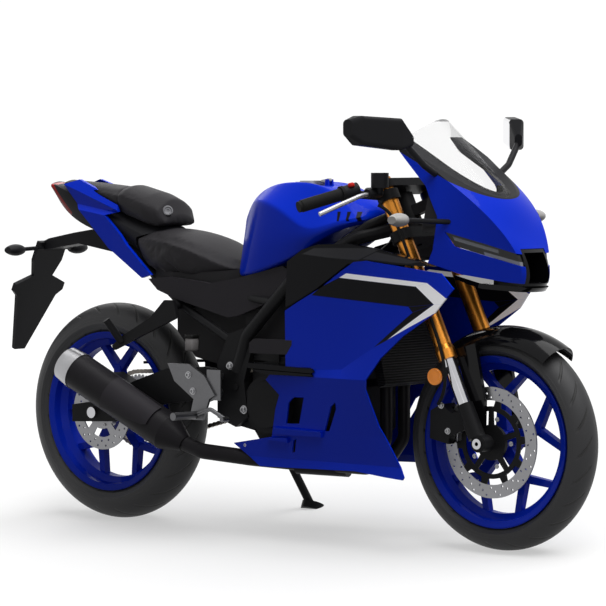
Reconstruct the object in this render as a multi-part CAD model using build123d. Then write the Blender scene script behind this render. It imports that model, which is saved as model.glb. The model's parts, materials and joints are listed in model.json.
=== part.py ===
from build123d import *
import math
import os

# Sport motorcycle, full size, in millimetres.
# Drawn upright: X forward from the rear axle, Y to the rider's left, Z up from the ground.
# At the end it leans onto its side stand, with the origin on the ground under its middle.

# Chassis
wheelbase = 1380.0
drawn_wheelbase = 1380.0
drawn_head_x = 1058.0
rake_deg = 25.0
trail = 95.0
lean_deg = 10.5
running_gap = 0.05
fit_gap = 0.3
moving_gap = 6.0

# Wheels and tyres
front_tyre_height = 62.0
front_tyre_width = 110.0
rear_tyre_height = 83.0
rear_tyre_width = 140.0
tyre_wall = 9.0
crown_height = 0.43
flange_radius = 231.0
flange_height = 12.0
rim_lip = 7.0
barrel_drop = 38.0
front_rim_half = 45.0
rear_rim_half = 59.0
spoke_count = 5
spoke_fork_radius = 118.0
hub_radius = 34.0
front_hub_half = 50.0
rear_hub_half = 62.0
axle_radius = 9.0

# Brakes
front_disc_radius = 149.0
front_disc_y = -58.0
rear_disc_radius = 110.0
rear_disc_y = -80.0
disc_thickness = 4.5

# Final drive
chain_pitch = 15.875
rear_sprocket_teeth = 43
front_sprocket_teeth = 14
chain_line_y = 86.0
chain_width = 13.0
chain_height = 13.0

# Fork
leg_half_spacing = 98.0
clamp_offset = 28.0
inner_tube_radius = 18.5
outer_tube_radius = 23.5
fork_bottom_radius = 22.0
stem_radius = 18.0
stem_bore = 8.0
lower_clamp_top = 927.0
head_tube_length = 110.0
fork_top = 1080.0

# Bodywork
panel_thickness = 5.0
screen_thickness = 3.5
cowl_seam_z = 455.0
cap_radius = 46.0
cap_x = 720.0
cap_floor = 974.0
cap_pin_z = 987.0
cap_reach = 62.0

front_tyre_radius = flange_radius + front_tyre_height
rear_tyre_radius = flange_radius + rear_tyre_height
rake = math.radians(rake_deg)
front_axle = Vector(wheelbase, 0, front_tyre_radius)
rear_axle = Vector(0, 0, rear_tyre_radius)
steer_foot = Vector(wheelbase + trail, 0, 0)
steer_up = Vector(-math.sin(rake), 0, math.cos(rake))
steer_ahead = Vector(math.cos(rake), 0, math.sin(rake))
axle_along = (front_axle - steer_foot).dot(steer_up)
axle_ahead = (front_axle - steer_foot).dot(steer_ahead)
head_tube_foot = lower_clamp_top + moving_gap
head_tube_top = head_tube_foot + head_tube_length
upper_clamp_foot = head_tube_top + moving_gap


# Shared builders

def station(x):
    # Lengthwise places are drawn for one wheelbase: what lies ahead of the steering head keeps its
    # place by it, and what lies behind is spread between the head and the rear axle.
    grown = wheelbase - drawn_wheelbase
    if x > drawn_head_x:
        return x + grown
    return x * (drawn_head_x + grown) / drawn_head_x


def local_prism(outline, y_from, y_to):
    # An outline of (x, z) points carried sideways.
    face = make_face(Polyline(*[(x, y_from, z) for x, z in outline], close=True))
    return extrude(face, amount=abs(y_to - y_from), dir=(0, math.copysign(1, y_to - y_from), 0))


def side_prism(outline, y_from, y_to):
    return local_prism([(station(x), z) for x, z in outline], y_from, y_to)


def bar(start, end, radius, end_radius=None):
    # A round bar between two points, or a cone where end_radius is given.
    start, end = Vector(*start), Vector(*end)
    plane = Plane(origin=start, z_dir=end - start)
    low = (Align.CENTER, Align.CENTER, Align.MIN)
    if end_radius is None:
        return plane * Cylinder(radius, (end - start).length, align=low)
    return plane * Cone(radius, end_radius, (end - start).length, align=low)


def rod(start, end, radius, end_radius=None):
    start, end = Vector(*start), Vector(*end)
    return bar((station(start.X), start.Y, start.Z), (station(end.X), end.Y, end.Z), radius, end_radius)


def rod_point(point):
    return Vector(station(point[0]), point[1], point[2])


def cross_bar(x, z, radius, y_from, y_to):
    return bar((x, y_from, z), (x, y_to, z), radius)


def cross_rod(x, z, radius, y_from, y_to):
    return cross_bar(station(x), z, radius, y_from, y_to)


def pipe(points, radius, bend):
    # Round tube along straight runs joined by tangent arcs.
    path = FilletPolyline(*points, radius=bend)
    return sweep(Plane(origin=path @ 0, z_dir=path % 0) * Circle(radius), path=path)


def tube(points, radius, bend):
    return pipe([(station(x), y, z) for x, y, z in points], radius, bend)


def mirrored(shape):
    return mirror(shape, about=Plane.XZ)


def largest(shape):
    return max(shape.solids(), key=lambda solid: solid.volume)


def pair(shape):
    return Part() + [shape, mirrored(shape)]


def touching(shapes):
    # One piece of solids that meet face to face and stay separate.
    return Compound(children=[solid for shape in shapes for solid in shape.solids()])


def polygon(points):
    return make_face(Polyline(*points, close=True))


def fork_point(along, y=0.0, ahead=0.0):
    # along runs up the steering axis from the ground; ahead is square to it, forward.
    return steer_foot + steer_up * along + steer_ahead * ahead + Vector(0, y, 0)


def leg_bar(along_from, along_to, radius, end_radius=None):
    return bar(fork_point(along_from, -leg_half_spacing, clamp_offset),
               fork_point(along_to, -leg_half_spacing, clamp_offset), radius, end_radius)


def axle_bar(y_from, y_to, radius):
    return bar(fork_point(axle_along, y_from, axle_ahead), fork_point(axle_along, y_to, axle_ahead), radius)


def hoop_section(x, floor_z, floor_half, shoulder_z, shoulder_half, top_z, bulge=6.0):
    # Section across the machine: flat floor, bowed sides, arched top.
    x = station(x)
    mid_z = (floor_z + shoulder_z) / 2
    mid_half = (floor_half + shoulder_half) / 2 + bulge
    floor_left, floor_right = (x, floor_half, floor_z), (x, -floor_half, floor_z)
    left, right = (x, shoulder_half, shoulder_z), (x, -shoulder_half, shoulder_z)
    return make_face([
        Line(floor_left, floor_right),
        ThreePointArc(floor_right, (x, -mid_half, mid_z), right),
        ThreePointArc(right, (x, 0, top_z), left),
        ThreePointArc(left, (x, mid_half, mid_z), floor_left),
    ])


def hoop_loft(rows, ruled=False):
    return loft([hoop_section(*row) for row in rows], ruled=ruled)


def skin_strip(rows, thickness, raised=0.0):
    # Upright skin on the right-hand side: rows of x, heights and the half widths there, moved out by raised.
    sections = []
    for x, heights, halves in rows:
        outer = [(station(x), -half - raised, z) for half, z in zip(halves, heights)]
        inner = [(station(x), -half + thickness, z) for half, z in zip(halves, heights)]
        sections.append(polygon(outer + inner[::-1]))
    return loft(sections, ruled=True)


# Wheels

def rim_ring(half):
    # Columns: radius, y, over one half of the rim; the other half is its mirror.
    barrel = flange_radius - barrel_drop
    seat = flange_radius - flange_height
    upper = [
        (barrel, 0), (barrel, 0.30 * half), (barrel + 17, 0.55 * half), (seat - 6, half - 5),
        (flange_radius - 4, half), (flange_radius, half), (flange_radius, half - rim_lip),
        (seat, half - rim_lip - 3), (seat - 4, 0.55 * half), (barrel + 11, 0.36 * half), (barrel + 11, 0),
    ]
    lower = [(r, -y) for r, y in upper[-2:0:-1]]
    return revolve(polygon([(r, y, 0) for r, y in upper + lower]), axis=Axis.Y)


def spoke(spread_deg, root_half, arm_half, y_half):
    # A stem standing along +Z that forks into two arms.
    spread = math.radians(spread_deg)
    tip = flange_radius - barrel_drop + 5
    run = Vector(tip * math.sin(spread), 0, tip * math.cos(spread) - spoke_fork_radius)
    across = Vector(run.Z, 0, -run.X).normalized() * arm_half
    stem = local_prism([(-root_half, hub_radius - 6), (root_half, hub_radius - 6),
                        (0.6 * root_half, spoke_fork_radius + 12),
                        (-0.6 * root_half, spoke_fork_radius + 12)], -y_half, y_half)
    arms = []
    for side in (-1, 1):
        foot = Vector(0, 0, spoke_fork_radius)
        end = foot + Vector(side * run.X, 0, run.Z)
        step = Vector(side * across.X, 0, across.Z)
        corners = [foot - step * 1.25, end - step, end + step, foot + step * 1.25]
        arms.append(local_prism([(c.X, c.Z) for c in corners], -0.8 * y_half, 0.8 * y_half))
    return stem + arms


def cast_rim(half, spread_deg, hub_half, y_half):
    wheel = rim_ring(half) + cross_bar(0, 0, hub_radius, -hub_half, hub_half)
    for k in range(spoke_count):
        wheel += spoke(spread_deg, 19, 9, y_half).rotate(Axis.Y, 360 * k / spoke_count)
    return wheel - cross_bar(0, 0, axle_radius + running_gap, -hub_half - 5, hub_half + 5)


def crown_radius(width):
    # Radius of the arc across a tread that is crown_height times as high as wide.
    height = crown_height * width
    return (width * width / 4 + height * height) / (2 * height)


def tyre_ring(radius, width, half):
    # Round crown, beads against the rim's lips, hollow inside.
    crown = width / 2
    hip = radius - crown_height * width
    seat = flange_radius - flange_height + fit_gap
    lip = flange_radius + 1
    bead = half - rim_lip - fit_gap
    toe = 0.5 * half
    hollow = crown - tyre_wall
    face = make_face([
        ThreePointArc((hip, -crown, 0), (radius, 0, 0), (hip, crown, 0)),
        Polyline((hip, crown, 0), (lip, bead, 0), (seat, bead - 3, 0), (seat, toe, 0), (hip, hollow, 0)),
        ThreePointArc((hip, hollow, 0), (radius - tyre_wall, 0, 0), (hip, -hollow, 0)),
        Polyline((hip, -hollow, 0), (seat, -toe, 0), (seat, -bead + 3, 0), (lip, -bead, 0), (hip, -crown, 0)),
    ])
    return revolve(face, axis=Axis.Y)


def drilled_disc(radius, inner_radius, y, rows, per_row, hole_radius):
    y_from, y_to = y - disc_thickness / 2, y + disc_thickness / 2
    plate = cross_bar(0, 0, radius, y_from, y_to) - cross_bar(0, 0, inner_radius, y_from - 1, y_to + 1)
    holes = []
    for row in range(rows):
        at_radius = inner_radius + (radius - inner_radius) * (row + 0.75) / (rows + 0.5)
        for k in range(per_row):
            turn = 2 * math.pi / per_row * (k + row / rows)
            holes.append(cross_bar(at_radius * math.cos(turn), at_radius * math.sin(turn),
                                   hole_radius, y_from - 1, y_to + 1))
    return plate - holes


def disc_carrier(y, inner_radius, hub_half):
    # Dark spider from the hub's end out to the disc.
    y_from, y_to = y - disc_thickness / 2, y + disc_thickness / 2
    ring = cross_bar(0, 0, 97, y_from, y_to) - cross_bar(0, 0, 84, y_from - 1, y_to + 1)
    spider = ring + cross_bar(0, 0, 48, y_from, -hub_half)
    for k in range(spoke_count):
        turn = 360 * k / spoke_count
        arm = local_prism([(-9, 40), (9, 40), (7, 90), (-7, 90)], y_from, y_to)
        ear = local_prism([(-12, 92), (12, 92), (8, inner_radius + 5), (-8, inner_radius + 5)], y_from, y_to)
        spider += [arm.rotate(Axis.Y, turn), ear.rotate(Axis.Y, turn + 12), ear.rotate(Axis.Y, turn - 24)]
    spider &= cross_bar(0, 0, inner_radius, y_from - 1, 0)
    return spider - cross_bar(0, 0, axle_radius + running_gap, y_from - 1, 0)


def front_wheel_pieces():
    place = Location(front_axle)
    inner_radius = 113.0
    return {
        "front_tyre": place * tyre_ring(front_tyre_radius, front_tyre_width, front_rim_half),
        "front_rim": place * cast_rim(front_rim_half, 21.0, front_hub_half, 13.0),
        "front_disc": place * drilled_disc(front_disc_radius, inner_radius, front_disc_y, 3, 20, 3.2),
        "front_disc_carrier": place * disc_carrier(front_disc_y, inner_radius, front_hub_half),
    }


def pitch_radius(teeth):
    return chain_pitch / 2 / math.sin(math.pi / teeth)


def rear_sprocket():
    # Toothed plate whose tips stay inside the chain, on the wheel's drive drum.
    tip = pitch_radius(rear_sprocket_teeth) - chain_height / 2 - 2
    root = tip - 6
    outline = []
    for k in range(rear_sprocket_teeth):
        for share, r in ((-0.30, root), (-0.12, tip), (0.12, tip), (0.30, root)):
            turn = 2 * math.pi * (k + share) / rear_sprocket_teeth
            outline.append((r * math.cos(turn), r * math.sin(turn)))
    plate = local_prism(outline, chain_line_y - 3, chain_line_y + 3)
    for k in range(6):
        turn = math.radians(60 * k + 30)
        plate -= cross_bar(74 * math.cos(turn), 74 * math.sin(turn), 13, chain_line_y - 9, chain_line_y + 9)
    drum = cross_bar(0, 0, 56, rear_hub_half, chain_line_y)
    return plate + drum - cross_bar(0, 0, axle_radius + running_gap, 0, chain_line_y + 9)


def rear_disc():
    y_from, y_to = rear_disc_y - disc_thickness / 2, rear_disc_y + disc_thickness / 2
    disc = drilled_disc(rear_disc_radius, 74.0, rear_disc_y, 2, 20, 3.2)
    disc += cross_bar(0, 0, 50, y_from, -rear_hub_half)
    for k in range(spoke_count):
        disc += local_prism([(-10, 44), (10, 44), (13, 78), (-13, 78)], y_from, y_to).rotate(Axis.Y, 72 * k)
    return disc - cross_bar(0, 0, axle_radius + running_gap, y_from - 1, 0)


def rear_wheel_pieces():
    place = Location(rear_axle)
    return {
        "rear_tyre": place * tyre_ring(rear_tyre_radius, rear_tyre_width, rear_rim_half),
        "rear_rim": place * cast_rim(rear_rim_half, 18.0, rear_hub_half, 15.0),
        "rear_disc": place * rear_disc(),
        "rear_sprocket": place * rear_sprocket(),
    }


# Front fork and the controls on it

def fork_legs():
    bottom_top = axle_along + 117
    collar_foot = axle_along + 246
    lug = axle_bar(-leg_half_spacing - 20, -leg_half_spacing + 20, 23)
    web = bar(fork_point(axle_along, -leg_half_spacing, axle_ahead),
              fork_point(axle_along + 40, -leg_half_spacing, clamp_offset), 20)
    sleeve = leg_bar(axle_along + 20, bottom_top, fork_bottom_radius + 2, fork_bottom_radius)
    axle_hole = axle_bar(-leg_half_spacing - 40, leg_half_spacing + 40, axle_radius)
    inner_top = upper_clamp_foot - 200
    outer = leg_bar(collar_foot, fork_top, outer_tube_radius)
    outer += leg_bar(collar_foot, collar_foot + 26, outer_tube_radius + 3)
    outer += leg_bar(collar_foot + 26, collar_foot + 40, outer_tube_radius + 3, outer_tube_radius)
    outer -= leg_bar(collar_foot - 5, inner_top, inner_tube_radius)
    axle = axle_bar(-leg_half_spacing - 26, leg_half_spacing + 20, axle_radius)
    axle += axle_bar(-leg_half_spacing - 27, -leg_half_spacing - 20, axle_radius + 5)
    axle -= axle_bar(-leg_half_spacing - 60, leg_half_spacing + 60, axle_radius - 3.5)
    return {
        "fork_bottoms": pair(lug + web + sleeve) - axle_hole,
        "fork_inner_tubes": pair(leg_bar(bottom_top, inner_top, inner_tube_radius)),
        "fork_outer_tubes": pair(outer),
        "front_axle": axle,
    }


def yoke(along_from, along_to, radius):
    # A plate round both fork tubes and the stem.
    plane = Plane(origin=fork_point(along_from), x_dir=(0, 1, 0), z_dir=steer_up)
    legs = Pos(0, -clamp_offset) * SlotCenterToCenter(2 * leg_half_spacing, 2 * radius)
    nose = RectangleRounded(1.1 * leg_half_spacing, 2 * radius, 16)
    return extrude(plane * (legs + nose), amount=along_to - along_from, dir=steer_up)


def triple_clamps():
    clamps = yoke(lower_clamp_top - 30, lower_clamp_top, 33)
    clamps += yoke(upper_clamp_foot, upper_clamp_foot + 22, 32)
    clamps += bar(fork_point(lower_clamp_top - 30), fork_point(upper_clamp_foot + 22), stem_radius)
    clamps -= pair(leg_bar(axle_along, fork_top + 50, outer_tube_radius))
    return clamps - bar(fork_point(lower_clamp_top - 60), fork_point(fork_top + 60), stem_bore)


# Right-hand bar, from its clamp to its end, as drawn points.
bar_root = (1058, -124, 946)
bar_bend = (1012, -222, 955)
bar_end = (955, -338, 921)


def on_bar(share):
    # A point between the bend (0) and the end (1) of the right-hand bar.
    return tuple(a + (b - a) * share for a, b in zip(bar_bend, bar_end))


def handlebar_pieces():
    ring = leg_bar(upper_clamp_foot - 34, upper_clamp_foot - 6, outer_tube_radius + 8)
    core = tube([(1066, -100, 945), bar_root, bar_bend, bar_end], 11, 40)
    grip = rod(on_bar(0.06), on_bar(0.98), 17) + rod(on_bar(0.02), on_bar(0.08), 22)
    grip += rod(on_bar(0.98), on_bar(1.05), 15)
    housing = rod(on_bar(-0.30), on_bar(0.02), 20)
    master = rod((1043, -160, 955), (1078, -166, 957), 15) + rod((1078, -150, 957), (1070, -196, 953), 13)
    reservoir = rod((1088, -165, 955), (1088, -165, 972), 9) + rod((1088, -165, 970), (1088, -165, 1010), 24)
    lever = tube([(1073, -178, 955), (1064, -225, 947), (1042, -290, 922), (1018, -336, 901)], 6.5, 30)
    lever += rod((1073, -172, 955), (1070, -192, 952), 10)
    return {
        "handlebars": pair(ring + core - leg_bar(axle_along, fork_top + 50, outer_tube_radius)),
        "grips": pair(grip - core),
        "switchgear": pair(housing + master - core) + reservoir - core,
        "hand_levers": pair(lever - master),
    }


def front_fender(bottoms, outers):
    # Arched shell round the tyre, with a blade down each fork leg to the axle carrier.
    # Its centre sits ahead of and below the axle, so the gap to the tyre grows forward.
    centre = front_axle + Vector(19, 0, -20)
    edge = front_tyre_radius - 10
    half = front_tyre_width / 2 + 12
    top = front_tyre_radius + 38
    skin = 3.5
    face = make_face([
        ThreePointArc((edge, -half, 0), (top, 0, 0), (edge, half, 0)),
        Line((edge, half, 0), (edge, half - skin, 0)),
        ThreePointArc((edge, half - skin, 0), (top - skin, 0, 0), (edge, -half + skin, 0)),
        Line((edge, -half + skin, 0), (edge, -half, 0)),
    ])
    arch = Location(centre) * revolve(face, axis=Axis.Y, revolution_arc=66).rotate(Axis.Y, -123)
    x, z = front_axle.X, front_axle.Z
    blade_top = front_tyre_radius - 29
    blade = local_prism([(x - 105, z + blade_top - 18), (x - 40, z + blade_top), (x - 8, z + 110),
                         (x - 10, z + 40), (x - 40, z + 40), (x - 62, z + 120)], -half - 11, -half + 1)
    return arch + pair(blade) - bottoms - outers


def front_caliper(bottoms):
    x, z = front_axle.X, front_axle.Z
    gap = disc_thickness / 2 + moving_gap
    body = local_prism([(x - 178, z + 5), (x - 116, z - 8), (x - 106, z + 76), (x - 140, z + 99),
                        (x - 176, z + 80)], front_disc_y - 36, front_disc_y + 22)
    # The arm reaches from the body to the middle of the fork leg, its edges rising as they go.
    low, high = (fork_point(axle_along + rise, 0, clamp_offset).X - (x - 120) for rise in (50, 102))
    arm = local_prism([(x - 120, z + 10), (x - 120 + low, z + 10 + low * 35 / 86),
                       (x - 120 + high, z + 72 + high * 18 / 70), (x - 120, z + 72)],
                      front_disc_y - 36, front_disc_y - 22)
    slot = cross_bar(x, z, front_disc_radius + moving_gap, front_disc_y - gap, front_disc_y + gap)
    return body + arm - slot - bottoms


# Frame, engine and what hangs on them

pivot_x = 562.0
pivot_z = 412.0
plate_inner = 122.0
plate_outer = 142.0
stand_pivot = Vector(470, 132, 238)
stand_axis = Vector(-0.107, 1, 0.1).normalized()
stand_foot = Vector(525, 238, 43)


def stand_pin(radius, from_along, to_along):
    place = Vector(station(stand_pivot.X), stand_pivot.Y, stand_pivot.Z)
    return bar(place + stand_axis * from_along, place + stand_axis * to_along, radius)


def frame_solids():
    # The welded frame as solids that touch: head, sides and cross tubes, then the seat rails
    # and their cross tubes.
    bore = bar(fork_point(head_tube_foot - 5), fork_point(head_tube_top + 5), stem_radius + running_gap)
    head = bar(fork_point(head_tube_foot), fork_point(head_tube_top), stem_radius + 13)
    low, high = fork_point(head_tube_foot + 22), fork_point(head_tube_foot + 66)
    spar = pipe([(low.X, -12, low.Z), (station(965), -108, 832), (station(783), -148, 726),
                 (station(600), -138, 556), (station(560), -132, 455)], 18, 60)
    brace = pipe([(high.X, -12, high.Z), (station(985), -80, 866), (station(880), -138, 784)], 14, 40)
    plate = side_prism([(493, 476), (535, 560), (600, 580), (618, 520), (590, 430), (604, 330), (560, 300),
                        (493, 324)], -plate_outer, -plate_inner)
    hanger = side_prism([(792, 735), (858, 775), (890, 705), (846, 690)], -150, -110)
    tie = cross_rod(548, 540, 14, -plate_inner, plate_inner)
    pivot = cross_rod(pivot_x, pivot_z, axle_radius, -plate_outer - 4, plate_outer + 4)
    side = largest(spar + brace + plate + hanger - head - pivot)
    lug = side_prism([(493, 330), (446, 252), (446, 222), (492, 218), (560, 302)], plate_inner, plate_outer)
    left = mirrored(side) + lug - stand_pin(8 + running_gap, -60, 60)
    upper_rail = tube([(700, -142, 650), (560, -108, 664), (236, -88, 698), (104, -74, 782),
                       (-40, -52, 848)], 11, 50)
    lower_rail = tube([(545, -132, 535), (330, -104, 634), (222, -87, 706)], 11, 60)
    rail_ties = [
        cross_rod(330, 632, 10, -104, 104), cross_rod(205, 714, 10, -86, 86),
        cross_rod(shock_eye.X, shock_eye.Z, 10, -106, 106),
    ]
    rail = largest(upper_rail + lower_rail - side - tie - rail_ties)
    return {
        "main_frame": [head - bore, side, left, tie, pivot],
        "seat_rails": [rail, mirrored(rail)] + rail_ties,
    }


front_sprocket_x = 645.0
front_sprocket_z = 416.0


def engine_block():
    case = side_prism([(600, 300), (640, 246), (850, 240), (925, 300), (925, 420), (890, 480), (690, 500),
                       (600, 470)], -115, 115)
    cylinders = side_prism([(752, 465), (915, 440), (985, 640), (960, 742), (832, 742), (800, 640)],
                           -110, 110)
    lugs = side_prism([(558, 302), (558, 330), (612, 338), (612, 292)], -plate_inner, plate_inner)
    lugs += side_prism([(570, 490), (570, 526), (700, 526), (700, 486)], -plate_inner, plate_inner)
    pocket = side_prism([(590, 320), (716, 320), (716, 486), (590, 486)], 66, 130)
    hub = cross_rod(front_sprocket_x, front_sprocket_z, pitch_radius(front_sprocket_teeth) - chain_height / 2,
                    60, chain_line_y + 3)
    sump = side_prism([(660, 250), (680, 205), (840, 205), (850, 245)], -70, 90)
    return case + cylinders + lugs + sump - pocket + hub


def engine_covers(engine, frame):
    clutch = cross_rod(669, 367, 80, -115, -138) + cross_rod(669, 367, 64, -137, -147)
    generator = cross_rod(806, 352, 76, 115, 138) + cross_rod(806, 352, 60, 137, 148)
    sprocket_cover = side_prism([(606, 330), (735, 330), (735, 470), (690, 484), (606, 470)], 100, 122)
    return Part() + [clutch, generator + sprocket_cover] - engine - frame


def radiator(engine):
    core = side_prism([(1002, 690), (1028, 700), (1088, 440), (1062, 430)], -140, 140)
    stays = cross_rod(1040, 560, 9, -197, 197)
    struts = pair(rod((940, -70, 640), (1030, -70, 640), 9) + rod((900, -70, 480), (1060, -70, 480), 9))
    return core + stays + struts - engine


def exhaust_pipes(engine):
    header = tube([(930, -40, 560), (1012, -40, 470), (1012, -40, 280), (950, -30, 196),
                   (830, -24, 196)], 17, 45)
    collector = rod((850, 0, 196), (700, -40, 200), 30)
    tail = tube([(720, -36, 200), (600, -120, 214), (450, -157, 228), (392, -160, 246)], 22, 60)
    return pair(header) + collector + tail - engine


muffler_front = Vector(330, -166, 276)
muffler_rear = Vector(-46, -188, 462)


def on_muffler(share):
    return tuple(muffler_front + (muffler_rear - muffler_front) * share)


def muffler_pieces(exhaust):
    body = rod(on_muffler(0), on_muffler(0.86), 54) + rod(on_muffler(-0.16), on_muffler(0), 24, 54)
    cap = rod(on_muffler(0.86), on_muffler(0.98), 56, 50) - rod(on_muffler(0.94), on_muffler(1.2), 20)
    shield = rod(on_muffler(0.10), on_muffler(0.52), 59) - rod(on_muffler(0), on_muffler(0.6), 54)
    shield &= side_prism([(60, 360), (60, 500), (320, 420), (320, 300), (280, 300)], -260, -180)
    return {
        "muffler": body - exhaust,
        "muffler_cap": cap,
        "muffler_shield": shield,
    }


arm_inner = 94.0
arm_outer = 118.0


def swingarm():
    r = rear_tyre_radius
    arm = side_prism([(-83, r - 30), (-83, r + 20), (15, r + 34), (163, 413), (283, 452), (420, 462),
                      (585, 440), (588, 386), (373, 365), (263, 348), (90, r - 22)], -arm_outer, -arm_inner)
    brace = side_prism([(r + 24, 394), (r + 106, 376), (r + 106, 428), (r + 31, 426)], -arm_inner, arm_inner)
    carrier = pair(arm) + brace + cross_rod(pivot_x, pivot_z, 25, -arm_outer, arm_outer)
    carrier -= cross_rod(pivot_x, pivot_z, axle_radius, -arm_outer - 5, arm_outer + 5)
    carrier -= cross_bar(0, rear_tyre_radius, axle_radius, -arm_outer - 5, arm_outer + 5)
    return carrier


def rear_axle_piece():
    axle = cross_bar(0, rear_tyre_radius, axle_radius, -arm_outer - 10, arm_outer + 10)
    nuts = cross_bar(0, rear_tyre_radius, 16, -arm_outer - 10, -arm_outer)
    return axle + nuts + mirrored(nuts)


shock_foot = Vector(rear_tyre_radius + 118, 0, 452)
shock_eye = Vector(536, 0, 665)


def on_shock(share):
    return tuple(shock_foot + (shock_eye - shock_foot) * share)


def shock_pieces(carrier, frame):
    # A damper between two spring plates, from the swingarm's brace to a cross tube.
    body = rod(on_shock(0), on_shock(0.5), 19) + rod(on_shock(0.5), on_shock(1), 14)
    body += cross_rod(shock_foot.X, shock_foot.Z, 15, -20, 20)
    body += cross_rod(shock_eye.X, shock_eye.Z, 17, -18, 18)
    x = shock_foot.X
    body += side_prism([(x - 20, 420), (x + 20, 420), (x + 12, 456), (x - 12, 456)], -18, 18)
    plates = rod(on_shock(0.14), on_shock(0.18), 34) + rod(on_shock(0.74), on_shock(0.78), 34)
    start, end = rod_point(on_shock(0.18)), rod_point(on_shock(0.74))
    along = (end - start).normalized()
    wire_radius, coil_radius, pitch = 5.0, 27.0, 20.0
    plane = Plane(origin=start + along * wire_radius, z_dir=along)
    helix = plane * Helix(pitch, (end - start).length - 2 * wire_radius, coil_radius)
    spring = sweep(Plane(origin=helix @ 0, z_dir=helix % 0) * Circle(wire_radius), path=helix)
    return {"rear_shock": body + plates - carrier - frame, "shock_spring": spring}


def chain_track(offset):
    # Points round both sprockets, half a pitch apart and offset from the pitch line: run, arc, run, arc.
    rear = Vector(0, 0, rear_tyre_radius)
    front = Vector(station(front_sprocket_x), 0, front_sprocket_z)
    rear_r, front_r = pitch_radius(rear_sprocket_teeth), pitch_radius(front_sprocket_teeth)
    run = front - rear
    base = math.atan2(run.Z, run.X)
    swing = math.acos((rear_r - front_r) / run.length)
    straight = run.length * math.sin(swing)
    lengths = [straight, 2 * swing * front_r, straight, (2 * math.pi - 2 * swing) * rear_r]
    steps = 2 * round(sum(lengths) / chain_pitch)
    points = []
    for k in range(steps):
        left = sum(lengths) * k / steps
        reach = offset if k % 2 == 0 else 0.62 * offset
        for leg, length in enumerate(lengths):
            if left < length:
                break
            left -= length
        centre, r, turn = ((rear, rear_r, base + swing), (front, front_r, base + swing - left / front_r),
                           (front, front_r, base - swing), (rear, rear_r, base - swing - left / rear_r))[leg]
        way = Vector(math.cos(turn), 0, math.sin(turn))
        point = centre + way * (r + reach)
        if leg % 2 == 0:
            point += Vector(way.Z, 0, -way.X) * left
        points.append((point.X, point.Z))
    return points


def drive_chain():
    # Two rows of waisted plates: the outline is full at each pin and waisted between pins.
    y_from, y_to = chain_line_y - chain_width / 2, chain_line_y + chain_width / 2
    return (local_prism(chain_track(chain_height / 2), y_from, y_to)
            - local_prism(chain_track(-chain_height / 2), y_from, y_to))


def chain_guard(carrier):
    r = rear_tyre_radius
    guard = side_prism([(20, r + 132), (300, r + 148), (430, r + 160), (430, r + 166), (300, r + 156),
                        (20, r + 140)], 78, arm_outer)
    guard += side_prism([(230, 420), (400, 445), (400, r + 162), (230, r + 148)], arm_outer - 8, arm_outer)
    return guard - carrier


def rear_caliper(carrier):
    gap = disc_thickness / 2 + moving_gap
    r = rear_tyre_radius
    body = side_prism([(44, r + 58), (118, r + 48), (132, r + 90), (66, r + 118)],
                      -arm_outer, rear_disc_y + 20)
    slot = cross_bar(0, rear_tyre_radius, rear_disc_radius + moving_gap, rear_disc_y - gap, rear_disc_y + gap)
    return body - slot - carrier


# Bodywork

def fuel_tank(frame):
    # Columns: x, floor z, floor half, shoulder z, shoulder half, top z.
    rows = [
        (494, 792, 52, 830, 60, 856), (520, 760, 100, 862, 106, 902), (560, 742, 122, 876, 128, 940),
        (640, 738, 136, 888, 148, 973), (740, 764, 140, 888, 152, 986), (830, 812, 134, 886, 147, 977),
        (910, 856, 118, 892, 130, 952), (980, 872, 94, 890, 104, 908),
    ]
    tank = hoop_loft(rows) - rod((cap_x, 0, cap_floor), (cap_x, 0, cap_floor + 60), cap_radius + moving_gap)
    pin_x = station(cap_x) + cap_reach
    tank += local_prism([(pin_x - 8, cap_floor - 20), (pin_x + 8, cap_floor - 20), (pin_x + 6, cap_pin_z),
                         (pin_x - 6, cap_pin_z)], -12, 12)
    tank += cross_bar(pin_x, cap_pin_z, 6, -12, 12)
    slot = local_prism([(pin_x - 20, cap_floor), (pin_x - 20, cap_floor + 60), (pin_x, cap_floor + 60),
                        (pin_x, cap_floor)], -6.5, 6.5)
    tank -= slot + cross_bar(pin_x, cap_pin_z, 9, -6.5, 6.5)
    return tank + cross_bar(pin_x, cap_pin_z, 2.5, -12, 12) - frame


def fuel_cap():
    x = station(cap_x)
    pin_x = x + cap_reach
    cap = rod((cap_x, 0, cap_floor + 0.5), (cap_x, 0, cap_floor + 9), cap_radius)
    cap += rod((cap_x, 0, cap_floor + 8), (cap_x, 0, cap_floor + 12), cap_radius - 12)
    arm = local_prism([(x + cap_radius - 8, cap_pin_z - 8), (x + cap_radius - 8, cap_pin_z + 1),
                       (pin_x, cap_pin_z + 5), (pin_x, cap_pin_z - 4)], -6, 6)
    arm += cross_bar(pin_x, cap_pin_z, 5.5, -6, 6)
    return cap + arm - cross_bar(pin_x, cap_pin_z, 2.5 + running_gap, -20, 20)


def seats(tank):
    # Columns: x, floor z, floor half, shoulder z, shoulder half, top z.
    rider_rows = [
        (142, 800, 84, 820, 92, 834), (240, 722, 104, 820, 124, 844), (340, 716, 112, 802, 136, 827),
        (430, 722, 108, 772, 124, 791), (490, 728, 90, 748, 104, 763), (566, 736, 62, 746, 70, 754),
    ]
    pillion_rows = [
        (-190, 966, 30, 976, 38, 985), (-60, 934, 50, 958, 60, 976), (46, 896, 66, 944, 78, 966),
        (78, 884, 72, 944, 84, 971), (165, 858, 80, 918, 90, 950), (214, 850, 76, 900, 80, 931),
        (238, 856, 58, 866, 62, 884),
    ]
    rider = hoop_loft(rider_rows) - tank - tank.moved(Location((-0.5, 0, 0)))
    return {"rider_seat": rider, "pillion_seat": hoop_loft(pillion_rows, ruled=True)}


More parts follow.
